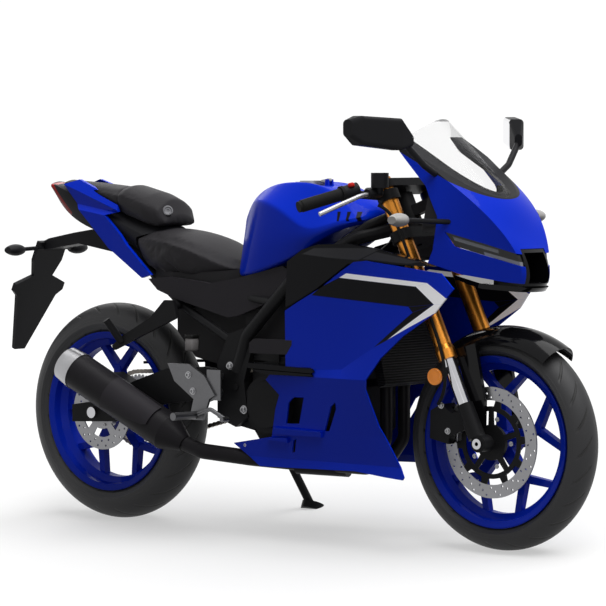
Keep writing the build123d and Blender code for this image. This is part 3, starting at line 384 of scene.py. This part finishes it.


# tyre: round the axle run slanted grooves, paired left and right and painted darker as painted shade in them,
# and rings on the wall
# tread: where the grooves begin, are full, fade and end, out from the middle; wall: where its rings are full
# and where they begin, in from the top; both as shares of the half width
tyres = {"pitch": 24, "slant": 0.020, "groove": 0.085, "ring": 9,
         "tread": (0.10, 0.22, 0.72, 0.86), "wall": (0.62, 0.50),
         "rubber": (0.012, 0.012, 0.013), "dust": (0.022, 0.022, 0.024), "cut": (0.002, 0.002, 0.002),
         "frontHalf": 55, "rearHalf": 70}


def tyreRubber(name, centre, radius, half):
    f = Finish(name)
    x, y, z = (f.along(way, centre) for way in (aheadWay, leftWay, upWay))
    angle = z.math("ARCTAN2", z, x) / (2 * math.pi) * tyres["pitch"]
    across = abs(y)
    wave = abs((angle + across * tyres["slant"] + (y > 0) * 0.5) % 1 - 0.5)
    inner, full, fading, outer = (share * half for share in tyres["tread"])
    zone = f.step(across, inner, full) * (1 - f.step(across, fading, outer))
    groove = (1 - f.step(wave, 0.5 * tyres["groove"], tyres["groove"])) * zone
    r = (x * x + z * z) ** 0.5
    wall = 1 - f.step(r, *(radius - share * half for share in tyres["wall"]))
    rings = (1 - f.step(abs(r % tyres["ring"] - tyres["ring"] / 2), 0.4, 1.2)) * wall
    speck = f.noise(700, 3.0)
    # the grooves take a darker colour: painted shade in the grooves
    return f.set(Base_Color=f.mix(groove, f.mix(speck, tyres["rubber"], tyres["dust"]), tyres["cut"]),
                 Roughness=0.55 + 0.2 * (speck - 0.5), Specular_IOR_Level=0.35,
                 Normal=f.bump(speck * 0.05 - groove + rings * 0.15, 0.8, 0.003))


# vinyl: leather grain as small cells
def vinyl(name, colour):
    f = Finish(name)
    sockets = {"Vector": f.point, "Scale": 520.0}
    cells = f.node("ShaderNodeTexVoronoi", {"feature": "SMOOTH_F1"}, sockets, "Distance")
    return f.set(Base_Color=f.mix(f.noise(14, 3.0), colour, toned(colour, 1.4)),
                 Roughness=0.58 + 0.12 * (cells - 0.5), Specular_IOR_Level=0.12,
                 Normal=f.bump(cells, 0.3, 0.0006))


# windscreen: a clear sheet with a faint grey tint, denser where it is seen edge on, and along its top edge a
# denser band of painted shade that stands in for the dark line the edge shows
screen = {"tint": (0.05, 0.052, 0.056), "thin": 0.07, "edge": 0.45, "rim": 7}


def screenSheet():
    f = Finish("clear screen")
    heights = (meshPoints(nodes["windscreen"].data) - groundPoint) @ upWay * 1000
    rimFoot = float(heights.max()) - screen["rim"]
    grazing = f.node("ShaderNodeLayerWeight", {}, {"Blend": 0.3}, "Facing") ** 3
    # the band along the top edge is painted shade
    rim = f.step(f.along(upWay), rimFoot, rimFoot + 1)
    return f.set(Base_Color=screen["tint"], Roughness=0.03, Specular_IOR_Level=0.5,
                 Alpha=screen["thin"] + screen["edge"] * (grazing + rim * (1 - grazing)))


# radiator: level fins over a dark core, the gaps between the fins painted darker as painted shade
core = {"black": (0.012, 0.012, 0.012), "gap": (0.002, 0.002, 0.002), "fin": (0.018, 0.018, 0.02), "pitch": 7}


def radiatorCore():
    f = plastic("radiator core", core["black"], 0.5, 300, 0.0003)
    fins = f.step(abs(f.along(upWay) % core["pitch"] - core["pitch"] / 2), 0.6, 2.2)
    # between the fins the colour is painted shade
    return f.set(Normal=f.bump(fins, 1.0, 0.004), Base_Color=f.mix(fins, core["gap"], core["fin"]))


# metal finishes: name, colour, roughness, grain, depth of grain in metres, metallic, then the nodes
metals = [("satin black metal", (0.010, 0.010, 0.011), 0.45, 60, 0.0004, 0.0,
           "main_frame seat_rails swingarm triple_clamps fork_bottoms front_disc_carrier handlebars "
           "side_stand pillion_footrests"),
          ("caliper black", (0.010, 0.010, 0.011), 0.4, 90, 0.0004, 0.0,
           "front_caliper rear_caliper rear_shock"),
          ("engine black", (0.014, 0.014, 0.015), 0.5, 160, 0.0008, 0.0, "engine_block engine_covers"),
          ("exhaust black", (0.014, 0.013, 0.015), 0.42, 40, 0.0003, 0.0, "exhaust_pipes muffler"),
          ("gold anodised", (0.56, 0.22, 0.035), 0.3, 200, 0.0002, 1.0, "fork_outer_tubes"),
          ("hard chrome", (0.50, 0.50, 0.52), 0.12, 20, 0.00005, 1.0,
           "fork_inner_tubes front_axle rear_axle"),
          ("satin alloy", (0.12, 0.12, 0.125), 0.4, 120, 0.0003, 1.0, "footrests"),
          ("polished alloy", (0.36, 0.36, 0.37), 0.32, 60, 0.00004, 1.0, "hand_levers muffler_cap"),
          ("chain steel", (0.22, 0.20, 0.17), 0.42, 300, 0.0005, 1.0, "drive_chain"),
          ("cap alloy", (0.36, 0.36, 0.37), 0.3, 150, 0.0002, 1.0, "fuel_cap")]
# moulded finishes: name, colour, roughness, grain, depth of grain in metres, shine, then the nodes
moulded = [("yellow spring paint", (0.62, 0.42, 0.02), 0.3, 200, 0.0002, 0.08, "shock_spring"),
           ("satin black plastic", (0.014, 0.014, 0.016), 0.48, 900, 0.0002, 0.08,
            "plate_holder cockpit_panel switchgear chain_guard rear_indicators screen_seal"),
           ("dark grey plastic", (0.026, 0.024, 0.028), 0.50, 800, 0.0002, 0.08,
            "side_covers muffler_shield"),
           ("gloss black plastic", (0.004, 0.004, 0.005), 0.10, 300, 0.00005, 0.15, "front_fender nose_duct"),
           ("grip rubber", (0.014, 0.014, 0.014), 0.7, 500, 0.0008, 0.08, "grips"),
           ("red lens", (0.34, 0.006, 0.005), 0.12, 200, 0.0002, 0.08, "tail_lamp")]
bodyBlue = lacquer("body blue", paint["blue"], paint["deep"])[0]


def dressNodes():
    for *look, names in metals:
        coat(metal(*look), names)
    for *look, names in moulded:
        coat(plastic(*look), names)
    coat(bodyBlue, "tail_cowls nose_cowl belly_cowls lamp_wings")
    coat(lacquer("wheel blue", paint["wheelBlue"], paint["wheelDeep"])[0], "front_rim rear_rim")
    coat(striped(), "side_cowls")
    coat(tyreRubber("front tyre", frontAxle, axles["frontHeight"], tyres["frontHalf"]), "front_tyre")
    coat(tyreRubber("rear tyre", rearAxle, axles["rearHeight"], tyres["rearHalf"]), "rear_tyre")
    coat(ringSteel("front disc steel", frontAxle, (0.26, 0.26, 0.27), 0.34), "front_disc")
    coat(ringSteel("rear disc steel", rearAxle, (0.25, 0.25, 0.26), 0.34), "rear_disc rear_sprocket")
    coat(trayPlastic(), "tail_tray")
    coat(mirrorShell(), "mirrors")
    coat(insetTrim(), "side_trims")
    coat(screenSheet(), "windscreen")
    coat(lampGlass(), "headlamps")
    coat(indicator(), "front_indicators")
    coat(radiatorCore(), "radiator")


dressNodes()
print("materials set")

# seat pads: a merged copy of the solid drawn in a little, voxel remeshed, blown up by cloth pressure,
# its moves capped, then sewn lines pressed in where a plane of the drawn machine crosses it
# seams: a point on the plane, its direction, depth in metres, width in millimetres
pads = {"rider_seat": {"inset": 0.004, "voxel": 0.006, "cap": 0.007, "pressure": 4.0, "fill": 0.8,
                       "seams": []},
        "pillion_seat": {"inset": 0.003, "voxel": 0.005, "cap": 0.003, "pressure": 2.0, "fill": 0.95,
                         "seams": [((55, 0, 940), (1.0, 0.0, 0.08), 0.005, 4.0)]}}
padFrames = 20
weldReach = 0.00002


# put what the modifiers give into the mesh and clear them
def bake(obj):
    bpy.context.view_layer.update()
    fresh = bpy.data.meshes.new_from_object(obj.evaluated_get(bpy.context.evaluated_depsgraph_get()))
    obj.modifiers.clear()
    obj.data = fresh
    return obj


def mergedCopy(name):
    made = bpy.data.objects.new(name + "_pad", nodes[name].data.copy())
    scene.collection.objects.link(made)
    made.modifiers.new("weld", "WELD").merge_threshold = weldReach
    return bake(made)


# run the cloth for its few frames and keep the last
def blowUp(pad, pressure):
    cloth = pad.modifiers.new("cloth", "CLOTH")
    cloth.settings.use_pressure, cloth.settings.uniform_pressure_force = True, pressure
    cloth.settings.effector_weights.gravity = 0
    cloth.point_cache.frame_start, cloth.point_cache.frame_end = 1, padFrames
    for number in range(1, padFrames + 1):
        scene.frame_set(number)
    bake(pad)
    scene.frame_set(1)


# subdivision that looks the same in the view and in the render
def subdivide(obj, levels):
    smooth = obj.modifiers.new("smooth", "SUBSURF")
    smooth.levels = smooth.render_levels = levels


def padSeat(name, finish):
    spec = pads[name]
    pad = mergedCopy(name)
    drawn = meshPoints(pad.data) - spec["inset"] * meshPoints(pad.data, "normal")
    pad.data.vertices.foreach_set("co", drawn.ravel())
    cubes = pad.modifiers.new("voxels", "REMESH")
    cubes.mode, cubes.voxel_size = "VOXEL", spec["voxel"]
    bake(pad)
    start = meshPoints(pad.data)
    blowUp(pad, spec["pressure"])
    move = meshPoints(pad.data) - start
    size = np.linalg.norm(move, axis=1, keepdims=True)
    swollen = start + move * np.minimum(1, spec["cap"] / np.maximum(size, 1e-9))
    pad.data.vertices.foreach_set("co", swollen.ravel())
    pad.data.update()
    normals = meshPoints(pad.data, "normal")
    for at, way, depth, width in spec["seams"]:
        across = np.array(way) @ machineAxes
        off = (swollen - place(at)) @ (across / np.linalg.norm(across)) * 1000
        swollen = swollen - normals * (depth * np.exp(-(off / width) ** 2))[:, None]
    pad.data.vertices.foreach_set("co", swollen.ravel())
    pad.data.polygons.foreach_set("use_smooth", np.ones(len(pad.data.polygons), bool))
    pad.data.materials.clear()
    pad.data.materials.append(finish.material)
    subdivide(pad, 1)
    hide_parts(name)
    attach(pad, "chassis")


seatVinyl = vinyl("seat cover vinyl", (0.017, 0.016, 0.018))
for seatName in pads:
    padSeat(seatName, seatVinyl)
print("seats padded")


# copies of a closed grid (copies, rows, columns, xyz) as one object: faces join neighbours, ends are capped
def skinned(name, points, finish, body, smooth):
    copies, rows, columns = points.shape[:3]
    index = np.arange(copies * rows * columns).reshape(copies, rows, columns)
    turned = np.roll(index, -1, 2)
    quads = np.stack([index[:, :-1], turned[:, :-1], turned[:, 1:], index[:, 1:]], -1).reshape(-1, 4)
    data = bpy.data.meshes.new(name)
    data.from_pydata(points.reshape(-1, 3).tolist(), [],
                     quads.tolist() + index[:, 0, ::-1].tolist() + index[:, -1].tolist())
    data.polygons.foreach_set("use_smooth", np.full(len(data.polygons), smooth))
    data.materials.append(finish.material)
    made = bpy.data.objects.new(name, data)
    scene.collection.objects.link(made)
    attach(made, body)
    return made


# turned pieces: a profile (share of radius, share of height, how far six-sided) spun about each row's line
# rows: ahead, left, up, then the line's direction, radius and height in millimetres
def spun(profile, rows, sides=24):
    shape, rows = np.array(profile), np.array(rows, float)
    way = rows[:, 3:6] @ machineAxes
    way /= np.linalg.norm(way, axis=1, keepdims=True)
    side = np.cross(way, 0.3 * aheadWay + upWay)
    side /= np.linalg.norm(side, axis=1, keepdims=True)
    over = np.cross(way, side)
    angle = np.arange(sides) * 2 * math.pi / sides
    ring = np.cos(angle)[:, None] * side[:, None] + np.sin(angle)[:, None] * over[:, None]
    six = math.cos(math.pi / 6) / np.cos(angle % (math.pi / 3) - math.pi / 6)
    reach = shape[:, :1] * (1 + shape[:, 2:] * (six - 1))
    out = rows[:, 6, None, None] / 1000 * reach
    up = rows[:, 7, None] / 1000 * shape[:, 1]
    foot = place(rows[:, :3])[:, None, None]
    return foot + out[..., None] * ring[:, None] + up[:, :, None, None] * way[:, None, None]


# rows of bolts on a circle round an axle, all looking left or right
def boltCircle(ahead, up, count, reach, left, side, radius, height):
    turns = np.arange(count) * 2 * math.pi / count
    return [(ahead + reach * math.cos(turn), left, up + reach * math.sin(turn), 0, side, 0, radius, height)
            for turn in turns]


# bolts by body; each row as in spun
boltProfile = [(1.3, 0, 0), (1.3, 0.16, 0), (1, 0.22, 1), (1, 0.86, 1), (0.88, 1, 0), (0.5, 1, 0),
               (0.44, 0.5, 0)]
rakeWay = (-math.sin(steering["rake"]), 0, math.cos(steering["rake"]))
bolts = {"chassis": [(428, -190, 443, 0, -1, 0, 8, 6), (444, -190, 398, 0, -1, 0, 8, 6),
                     (598, -143, 252, 0, -1, 0, 5, 5), (540, -142, 470, 0, -1, 0, 9, 8),
                     (590, -142, 350, 0, -1, 0, 9, 8)],
         "fork": [(*forkPoint(1079, side * 98, 28), *rakeWay, 14, 9) for side in (-1, 1)]
         + [(1240, -93, 388, 0, -1, 0, 7, 6), (1262, -93, 320, 0, -1, 0, 7, 6)],
         "front_wheel": boltCircle(axles["wheelbase"], axles["frontHeight"], 5, 66, -60, -1, 5, 4),
         "rear_wheel": boltCircle(0, axles["rearHeight"], 5, 40, -82, -1, 5, 4)
         + boltCircle(0, axles["rearHeight"], 6, 46, 88.5, 1, 6, 3)}
boltSteel = metal("bolt steel", (0.30, 0.30, 0.31), 0.35, 200, 0.0002)
for body, rows in bolts.items():
    skinned(body + "_bolts", spun(boltProfile, rows), boltSteel, body, False)


# amber reflector: prism rows under a clear face, their cells painted lighter and darker as painted highlight
# and shade, with a painted glow standing in for the light they send back
# bracket: two edges of a strip, each as in forkPoint
reflector = {"profile": [(1, 0, 0), (1.07, 0.1, 0), (1.07, 0.6, 0), (0.98, 0.8, 0), (0.93, 0.7, 0),
                         (0.6, 0.85, 0), (0.3, 0.93, 0), (0.04, 0.95, 0)],
             "rows": [(*forkPoint(522, side * 118, -16), 0, side, 0, 21, 12) for side in (-1, 1)],
             "bracket": [(along, 117, 30, along, 117, -24) for along in (513, 522, 531)],
             "colour": (0.95, 0.22, 0.015), "paintedHighlight": (1.0, 0.36, 0.05), "paintedGlow": 0.3, "prism": 1.1}


def amber():
    f = plastic("amber lens", reflector["colour"], 0.15, 200, 0.0001, 0.4)
    x, z = f.along(aheadWay), f.along(upWay)
    prism = ((x + z) * reflector["prism"]).sine() * ((x - z) * reflector["prism"]).sine()
    # lighter and darker amber by prism cell is painted highlight and painted shade
    colour = f.mix(0.5 + 0.5 * prism, toned(reflector["colour"], 0.6), reflector["paintedHighlight"])
    # the lens emits a little: painted glow, though it is no lamp
    return f.set(Normal=f.bump(prism, 0.6, 0.001), Base_Color=colour, Emission_Color=colour,
                 Emission_Strength=reflector["paintedGlow"])


lensPoints = spun(reflector["profile"], reflector["rows"], 40)
skinned("side_reflectors", lensPoints, amber(), "fork", True)

# seat lock and stop switch
lock = {"profile": [(1, 0, 0), (1, 0.7, 0), (0.86, 1, 0), (0.7, 1, 0), (0.62, 0.6, 0), (0.3, 0.55, 0),
                    (0.26, 0.2, 0)],
        "row": (226, -46, 897, 0.75, -0.62, 0.25, 15, 8), "colour": (0.16, 0.16, 0.17)}
lockSteel = metal("lock steel", lock["colour"], 0.35, 300, 0.0002)
skinned("seat_lock", spun(lock["profile"], [lock["row"]], 32), lockSteel, "chassis", False)
stop = {"profile": [(1, 0, 0), (1.04, 0.35, 0), (0.96, 0.75, 0), (0.7, 0.97, 0), (0.3, 0.9, 0),
                    (0.05, 0.86, 0)],
        "row": (1030, -214, 972, -0.25, -0.1, 1, 9, 12), "colour": (0.55, 0.02, 0.015)}
stopRed = plastic("red switch", stop["colour"], 0.35, 300, 0.0001)
skinned("stop_switch", spun(stop["profile"], [stop["row"]], 28), stopRed, "fork", True)


# thin panels as a pair: each row holds a point on either edge of the left panel, carried from row to row;
# the right panel is the mirror image, its ring turned round so that faces point out
def panelPair(rows, thick):
    r = np.array(rows, float).reshape(-1, 2, 3)
    off = np.array([0, thick / 2, 0])
    left = np.stack([r[:, 0] + off, r[:, 1] + off, r[:, 1] - off, r[:, 0] - off], 1)
    right = left[:, ::-1] * np.array([1, -1, 1])
    return place(np.stack([left, right]))


# dark panels behind the gaps: over the side covers, by the spars, ahead of the rear tyre, under the tail
# and behind the nose's edge
# rows: ahead, left and up on one edge, then on the other
panels = {"seat_skirts": [(226, 96, 690, 226, 96, 738), (300, 107, 694, 300, 107, 726),
                          (410, 104, 682, 410, 104, 728), (490, 90, 684, 490, 90, 734),
                          (556, 66, 692, 556, 66, 741)],
          "airbox_flanks": [(548, 88, 640, 560, 88, 520), (640, 96, 690, 640, 96, 500),
                            (800, 96, 720, 800, 96, 470)],
          "splash_guards": [(272, 56, 650, 272, 56, 556), (340, 56, 650, 340, 56, 484),
                            (420, 56, 650, 420, 56, 468), (540, 56, 650, 540, 56, 452)],
          "tail_flanks": [(100, 75, 817, 100, 75, 793), (133, 75, 791, 133, 75, 767),
                          (164, 75, 769, 164, 75, 745), (195, 75, 747, 195, 75, 723),
                          (222, 75, 730, 222, 75, 702)],
          "cowl_backs": [(1272, 144, 974, 1246, 150, 974), (1274, 151, 912, 1237, 158, 912),
                         (1274, 153, 854, 1226, 161, 852)]}
panelThick = 3
darkGrey = plastic("panel plastic", (0.028, 0.027, 0.029), 0.52, 800, 0.0002)
for name, rows in panels.items():
    skinned(name, panelPair(rows, panelThick), darkGrey, "chassis", False)
stays = [forkPoint(*row[:3]) + forkPoint(*row[3:]) for row in reflector["bracket"]]
skinned("reflector_stays", panelPair(stays, panelThick), darkGrey, "fork", False)


# fuel tank cover: rings of twelve points from row to row, then subdivided with some lines kept sharp
# rows: ahead, then floor, flank, shoulder, rim and land as (up, half width), then the crown's height
tank = {"rows": [(497, 776, 40, 822, 36, 862, 30, 876, 20, 880, 10, 882),
                 (522, 722, 82, 796, 58, 896, 36, 918, 26, 926, 14, 929),
                 (560, 718, 118, 800, 102, 925, 64, 944, 44, 954, 24, 957),
                 (610, 726, 132, 812, 132, 932, 108, 966, 62, 974, 40, 976),
                 (668, 742, 138, 818, 144, 927, 132, 982, 72, 974, 52, 973),
                 (735, 764, 141, 824, 150, 902, 144, 985, 76, 974, 56, 973),
                 (790, 790, 139, 828, 150, 866, 148, 980, 76, 973, 52, 972),
                 (835, 814, 135, 834, 148, 852, 144, 966, 78, 968, 44, 969),
                 (910, 856, 119, 866, 131, 880, 126, 934, 70, 946, 36, 949),
                 (980, 872, 95, 880, 104, 890, 100, 904, 52, 909, 26, 910)],
        "lines": ("land", "rim", "shoulder", "flank", "floor"), "levels": 4,
        "sharp": {"rim": 0.5, "shoulder": 0.75, "floor": 0.7},
        "lug": [(774, 9.25, 955, 777, 9.25, 990), (790, 9.25, 955, 787, 9.25, 990)], "lugThick": 5.5}


# a ring goes from the crown down the right side, across the floor and up the left
def makeTank():
    r = np.array(tank["rows"], float)
    up, half, zero = r[:, 1:11:2], r[:, 2:11:2], np.zeros((len(r), 1))
    z = np.hstack([r[:, 11:], up[:, ::-1], r[:, 1:2], up])
    y = np.hstack([zero, -half[:, ::-1], zero, half])
    x = np.broadcast_to(r[:, :1], z.shape)
    points = place(np.stack([x, y, z], 2))[None]
    cover = skinned("tank_cover", points, tankBlue(), "chassis", True)
    columns = z.shape[1]
    ends = np.empty(2 * len(cover.data.edges), int)
    cover.data.edges.foreach_get("vertices", ends)
    column = ends.reshape(-1, 2) % columns
    hold = np.zeros(len(column))
    for number, line in enumerate(tank["lines"], 1):
        onLine = (column == number).all(1) | (column == columns - number).all(1)
        hold[onLine] = tank["sharp"].get(line, 0)
    cover.data.attributes.new("crease_edge", "FLOAT", "EDGE").data.foreach_set("value", hold)
    subdivide(cover, tank["levels"])
    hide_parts("fuel_tank")
    skinned("cap_lugs", panelPair(tank["lug"], tank["lugThick"]), bodyBlue, "chassis", False)


makeTank()

# filler under the cap: a seal ring and the dark mouth inside it, just below the closed cap; the mouth's near
# black is painted shade of the opening
filler = {"ring": [(1, 0, 0), (1, 0.8, 0), (0.95, 1, 0), (0.82, 1, 0), (0.78, 0.7, 0), (0.3, 0.7, 0)],
          "mouth": [(1, 0, 0), (1, 0.8, 0), (0.92, 1, 0), (0.7, 0.9, 0), (0.2, 0.85, 0)],
          "ringRow": (720, 0, 972, 0, 0, 1, 40, 2.3), "mouthRow": (720, 0, 972, 0, 0, 1, 29, 2.2),
          "sides": 48, "steel": (0.22, 0.22, 0.23), "dark": (0.006, 0.006, 0.006)}
fillerSteel = metal("filler steel", filler["steel"], 0.4, 300, 0.0002)
# the mouth's near-black finish is painted shade
fillerShade = plastic("filler dark", filler["dark"], 0.5, 500, 0.0002)
ringPoints = spun(filler["ring"], [filler["ringRow"]], filler["sides"])
mouthPoints = spun(filler["mouth"], [filler["mouthRow"]], filler["sides"])
skinned("filler_ring", ringPoints, fillerSteel, "chassis", False)
skinned("filler_mouth", mouthPoints, fillerShade, "chassis", False)
print("tank made")


# brake fluid pot by the swingarm: a stack of rounded rectangles, |x/a|^4 + |y/b|^4 = 1
# stack: share of the full outline, height; the lid begins at its own height
pot = {"centre": (389, -130, 506), "half": (15, 17), "sides": 32, "lidFrom": 35,
       "cup": (0.20, 0.19, 0.19), "lid": (0.012, 0.012, 0.012),
       "stack": [(0.80, 0), (0.94, 1.5), (1, 5), (1, 34), (0.92, 35), (0.92, 36), (1.06, 37),
                 (1.08, 44), (0.98, 46), (0.5, 46)]}


def makePot():
    angle = np.arange(pot["sides"]) * 2 * math.pi / pot["sides"]
    around = np.stack([np.cos(angle), np.sin(angle)], 1)
    around /= (np.abs(around) ** 4).sum(1, keepdims=True) ** 0.25
    share, height = np.array(pot["stack"], float).T
    flat = share[:, None, None] * around * np.array(pot["half"])
    up = np.broadcast_to(height[:, None, None], (len(height), pot["sides"], 1))
    f = plastic("pot plastic", pot["cup"], 0.4, 400, 0.0001)
    lidFoot = pot["centre"][2] + pot["lidFrom"]
    f.set(Base_Color=f.mix(f.step(f.along(upWay), lidFoot, lidFoot + 1), pot["cup"], pot["lid"]))
    points = np.concatenate([flat, up], 2) + np.array(pot["centre"])
    skinned("rear_fluid_pot", place(points)[None], f, "chassis", True)


makePot()
print("fittings made")

# front brake hose, from the master cylinder down the outside of the fork leg to the caliper
hose = {"radius": 4.5, "colour": (0.010, 0.010, 0.010),
        "points": [forkPoint(1003, -166, 34), forkPoint(985, -150, 48), forkPoint(930, -133, 50),
                   forkPoint(800, -130, 44), forkPoint(650, -130, 44), forkPoint(540, -130, 36),
                   forkPoint(470, -124, 0), (1236, -102, 392)]}


# one NURBS spline on the route's points, measured bare and then given its thickness
def makeHose():
    route = place(hose["points"])
    data = bpy.data.curves.new("brake_hose", "CURVE")
    data.dimensions = "3D"
    line = data.splines.new("NURBS")
    line.points.add(len(route) - 1)
    line.points.foreach_set("co", np.hstack([route, np.ones((len(route), 1))]).ravel())
    line.order_u, line.use_endpoint_u, line.resolution_u = 3, True, 10
    made = bpy.data.objects.new("brake_hose", data)
    scene.collection.objects.link(made)
    bpy.context.view_layer.update()
    bare = bpy.data.meshes.new_from_object(made.evaluated_get(bpy.context.evaluated_depsgraph_get()))
    length = np.linalg.norm(np.diff(meshPoints(bare), axis=0), axis=1).sum()
    data.bevel_depth, data.bevel_resolution, data.use_fill_caps = hose["radius"] / 1000, 4, True
    data.materials.append(plastic("hose rubber", hose["colour"], 0.45, 900, 0.0002).material)
    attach(made, "fork")
    2 * hose["radius"] / 1000


makeHose()
print("hose made")

# white room: the world is white to the eye, in gloss and through glass, and softer as light
# lamps: name, place, target, size in metres, watts
studio = {"ambient": 0.24, "floorRadius": 60, "floorSides": 64,
          "floorShade": 0.44, "floorGlow": 0.50, "bounce": 0.10,
          "sun": {"energy": 3.4, "spread": 60, "from": (0.35, 0.15, 1.0)},
          "lamps": [("side", (3.0, -3.8, 2.2), (0.2, 0, 0.6), 2.0, 5),
                    ("behind", (-3.2, 2.6, 2.6), (0, 0, 0.6), 2.2, 22)]}


# 1 on rays to the eye, in gloss and through glass, in any node tree
def seenRays(tree):
    path = tree.nodes.new("ShaderNodeLightPath")
    seen = path.outputs["Is Camera Ray"]
    for kind in ("Is Glossy Ray", "Is Transmission Ray"):
        top = tree.nodes.new("ShaderNodeMath")
        top.operation = "MAXIMUM"
        tree.links.new(seen, top.inputs[0])
        tree.links.new(path.outputs[kind], top.inputs[1])
        seen = top.outputs[0]
    return seen


def makeWorld():
    world = bpy.data.worlds.new("studio")
    scene.world = world
    world.use_nodes = True
    tree = world.node_tree
    reach = tree.nodes.new("ShaderNodeMapRange")
    reach.inputs["To Min"].default_value, reach.inputs["To Max"].default_value = studio["ambient"], 1.0
    tree.links.new(seenRays(tree), reach.inputs["Value"])
    tree.nodes["Background"].inputs["Color"].default_value = (1, 1, 1, 1)
    tree.links.new(reach.outputs[0], tree.nodes["Background"].inputs["Strength"])


# the floor is a disc that glows and takes shadow where it is seen, and is darker as a source of light
def makeFloor():
    data = bpy.data.meshes.new("floor")
    sides = studio["floorSides"]
    turns = np.linspace(0, 2 * math.pi, sides, endpoint=False)
    disc = studio["floorRadius"] * np.stack([np.cos(turns), np.sin(turns), 0 * turns], 1)
    data.from_pydata(disc.tolist(), [], [list(range(sides))])
    floor = bpy.data.objects.new("floor", data)
    scene.collection.objects.link(floor)
    f = Finish("floor white")
    light = {"Color": (1.0, 1.0, 1.0), "Strength": studio["floorGlow"]}
    glow = f.node("ShaderNodeEmission", {}, light, "Emission")
    shade = f.node("ShaderNodeBsdfDiffuse", {}, {"Color": (studio["floorShade"],) * 3}, "BSDF")
    both = f.node("ShaderNodeAddShader", {}, {0: glow, 1: shade}, "Shader")
    dim = f.node("ShaderNodeBsdfDiffuse", {}, {"Color": (studio["bounce"],) * 3}, "BSDF")
    seen = Signal(f, seenRays(f.tree))
    surface = f.node("ShaderNodeMixShader", {}, {0: seen, 1: dim, 2: both}, "Shader")
    f.tree.links.new(surface.socket, f.tree.nodes["Material Output"].inputs["Surface"])
    data.materials.append(f.material)


def addLamp(name, kind, at, to):
    made = bpy.data.lights.new(name, kind)
    obj = bpy.data.objects.new(name, made)
    scene.collection.objects.link(obj)
    obj.location = at
    obj.rotation_euler = (Vector(to) - Vector(at)).to_track_quat("-Z", "Y").to_euler()
    return made


def makeLamps():
    sun = addLamp("top", "SUN", studio["sun"]["from"], (0, 0, 0))
    sun.energy, sun.angle = studio["sun"]["energy"], math.radians(studio["sun"]["spread"])
    for name, at, to, size, power in studio["lamps"]:
        made = addLamp(name, "AREA", at, to)
        made.shape, made.size, made.energy = "DISK", size, power


makeWorld()
makeFloor()
makeLamps()
print("studio set")
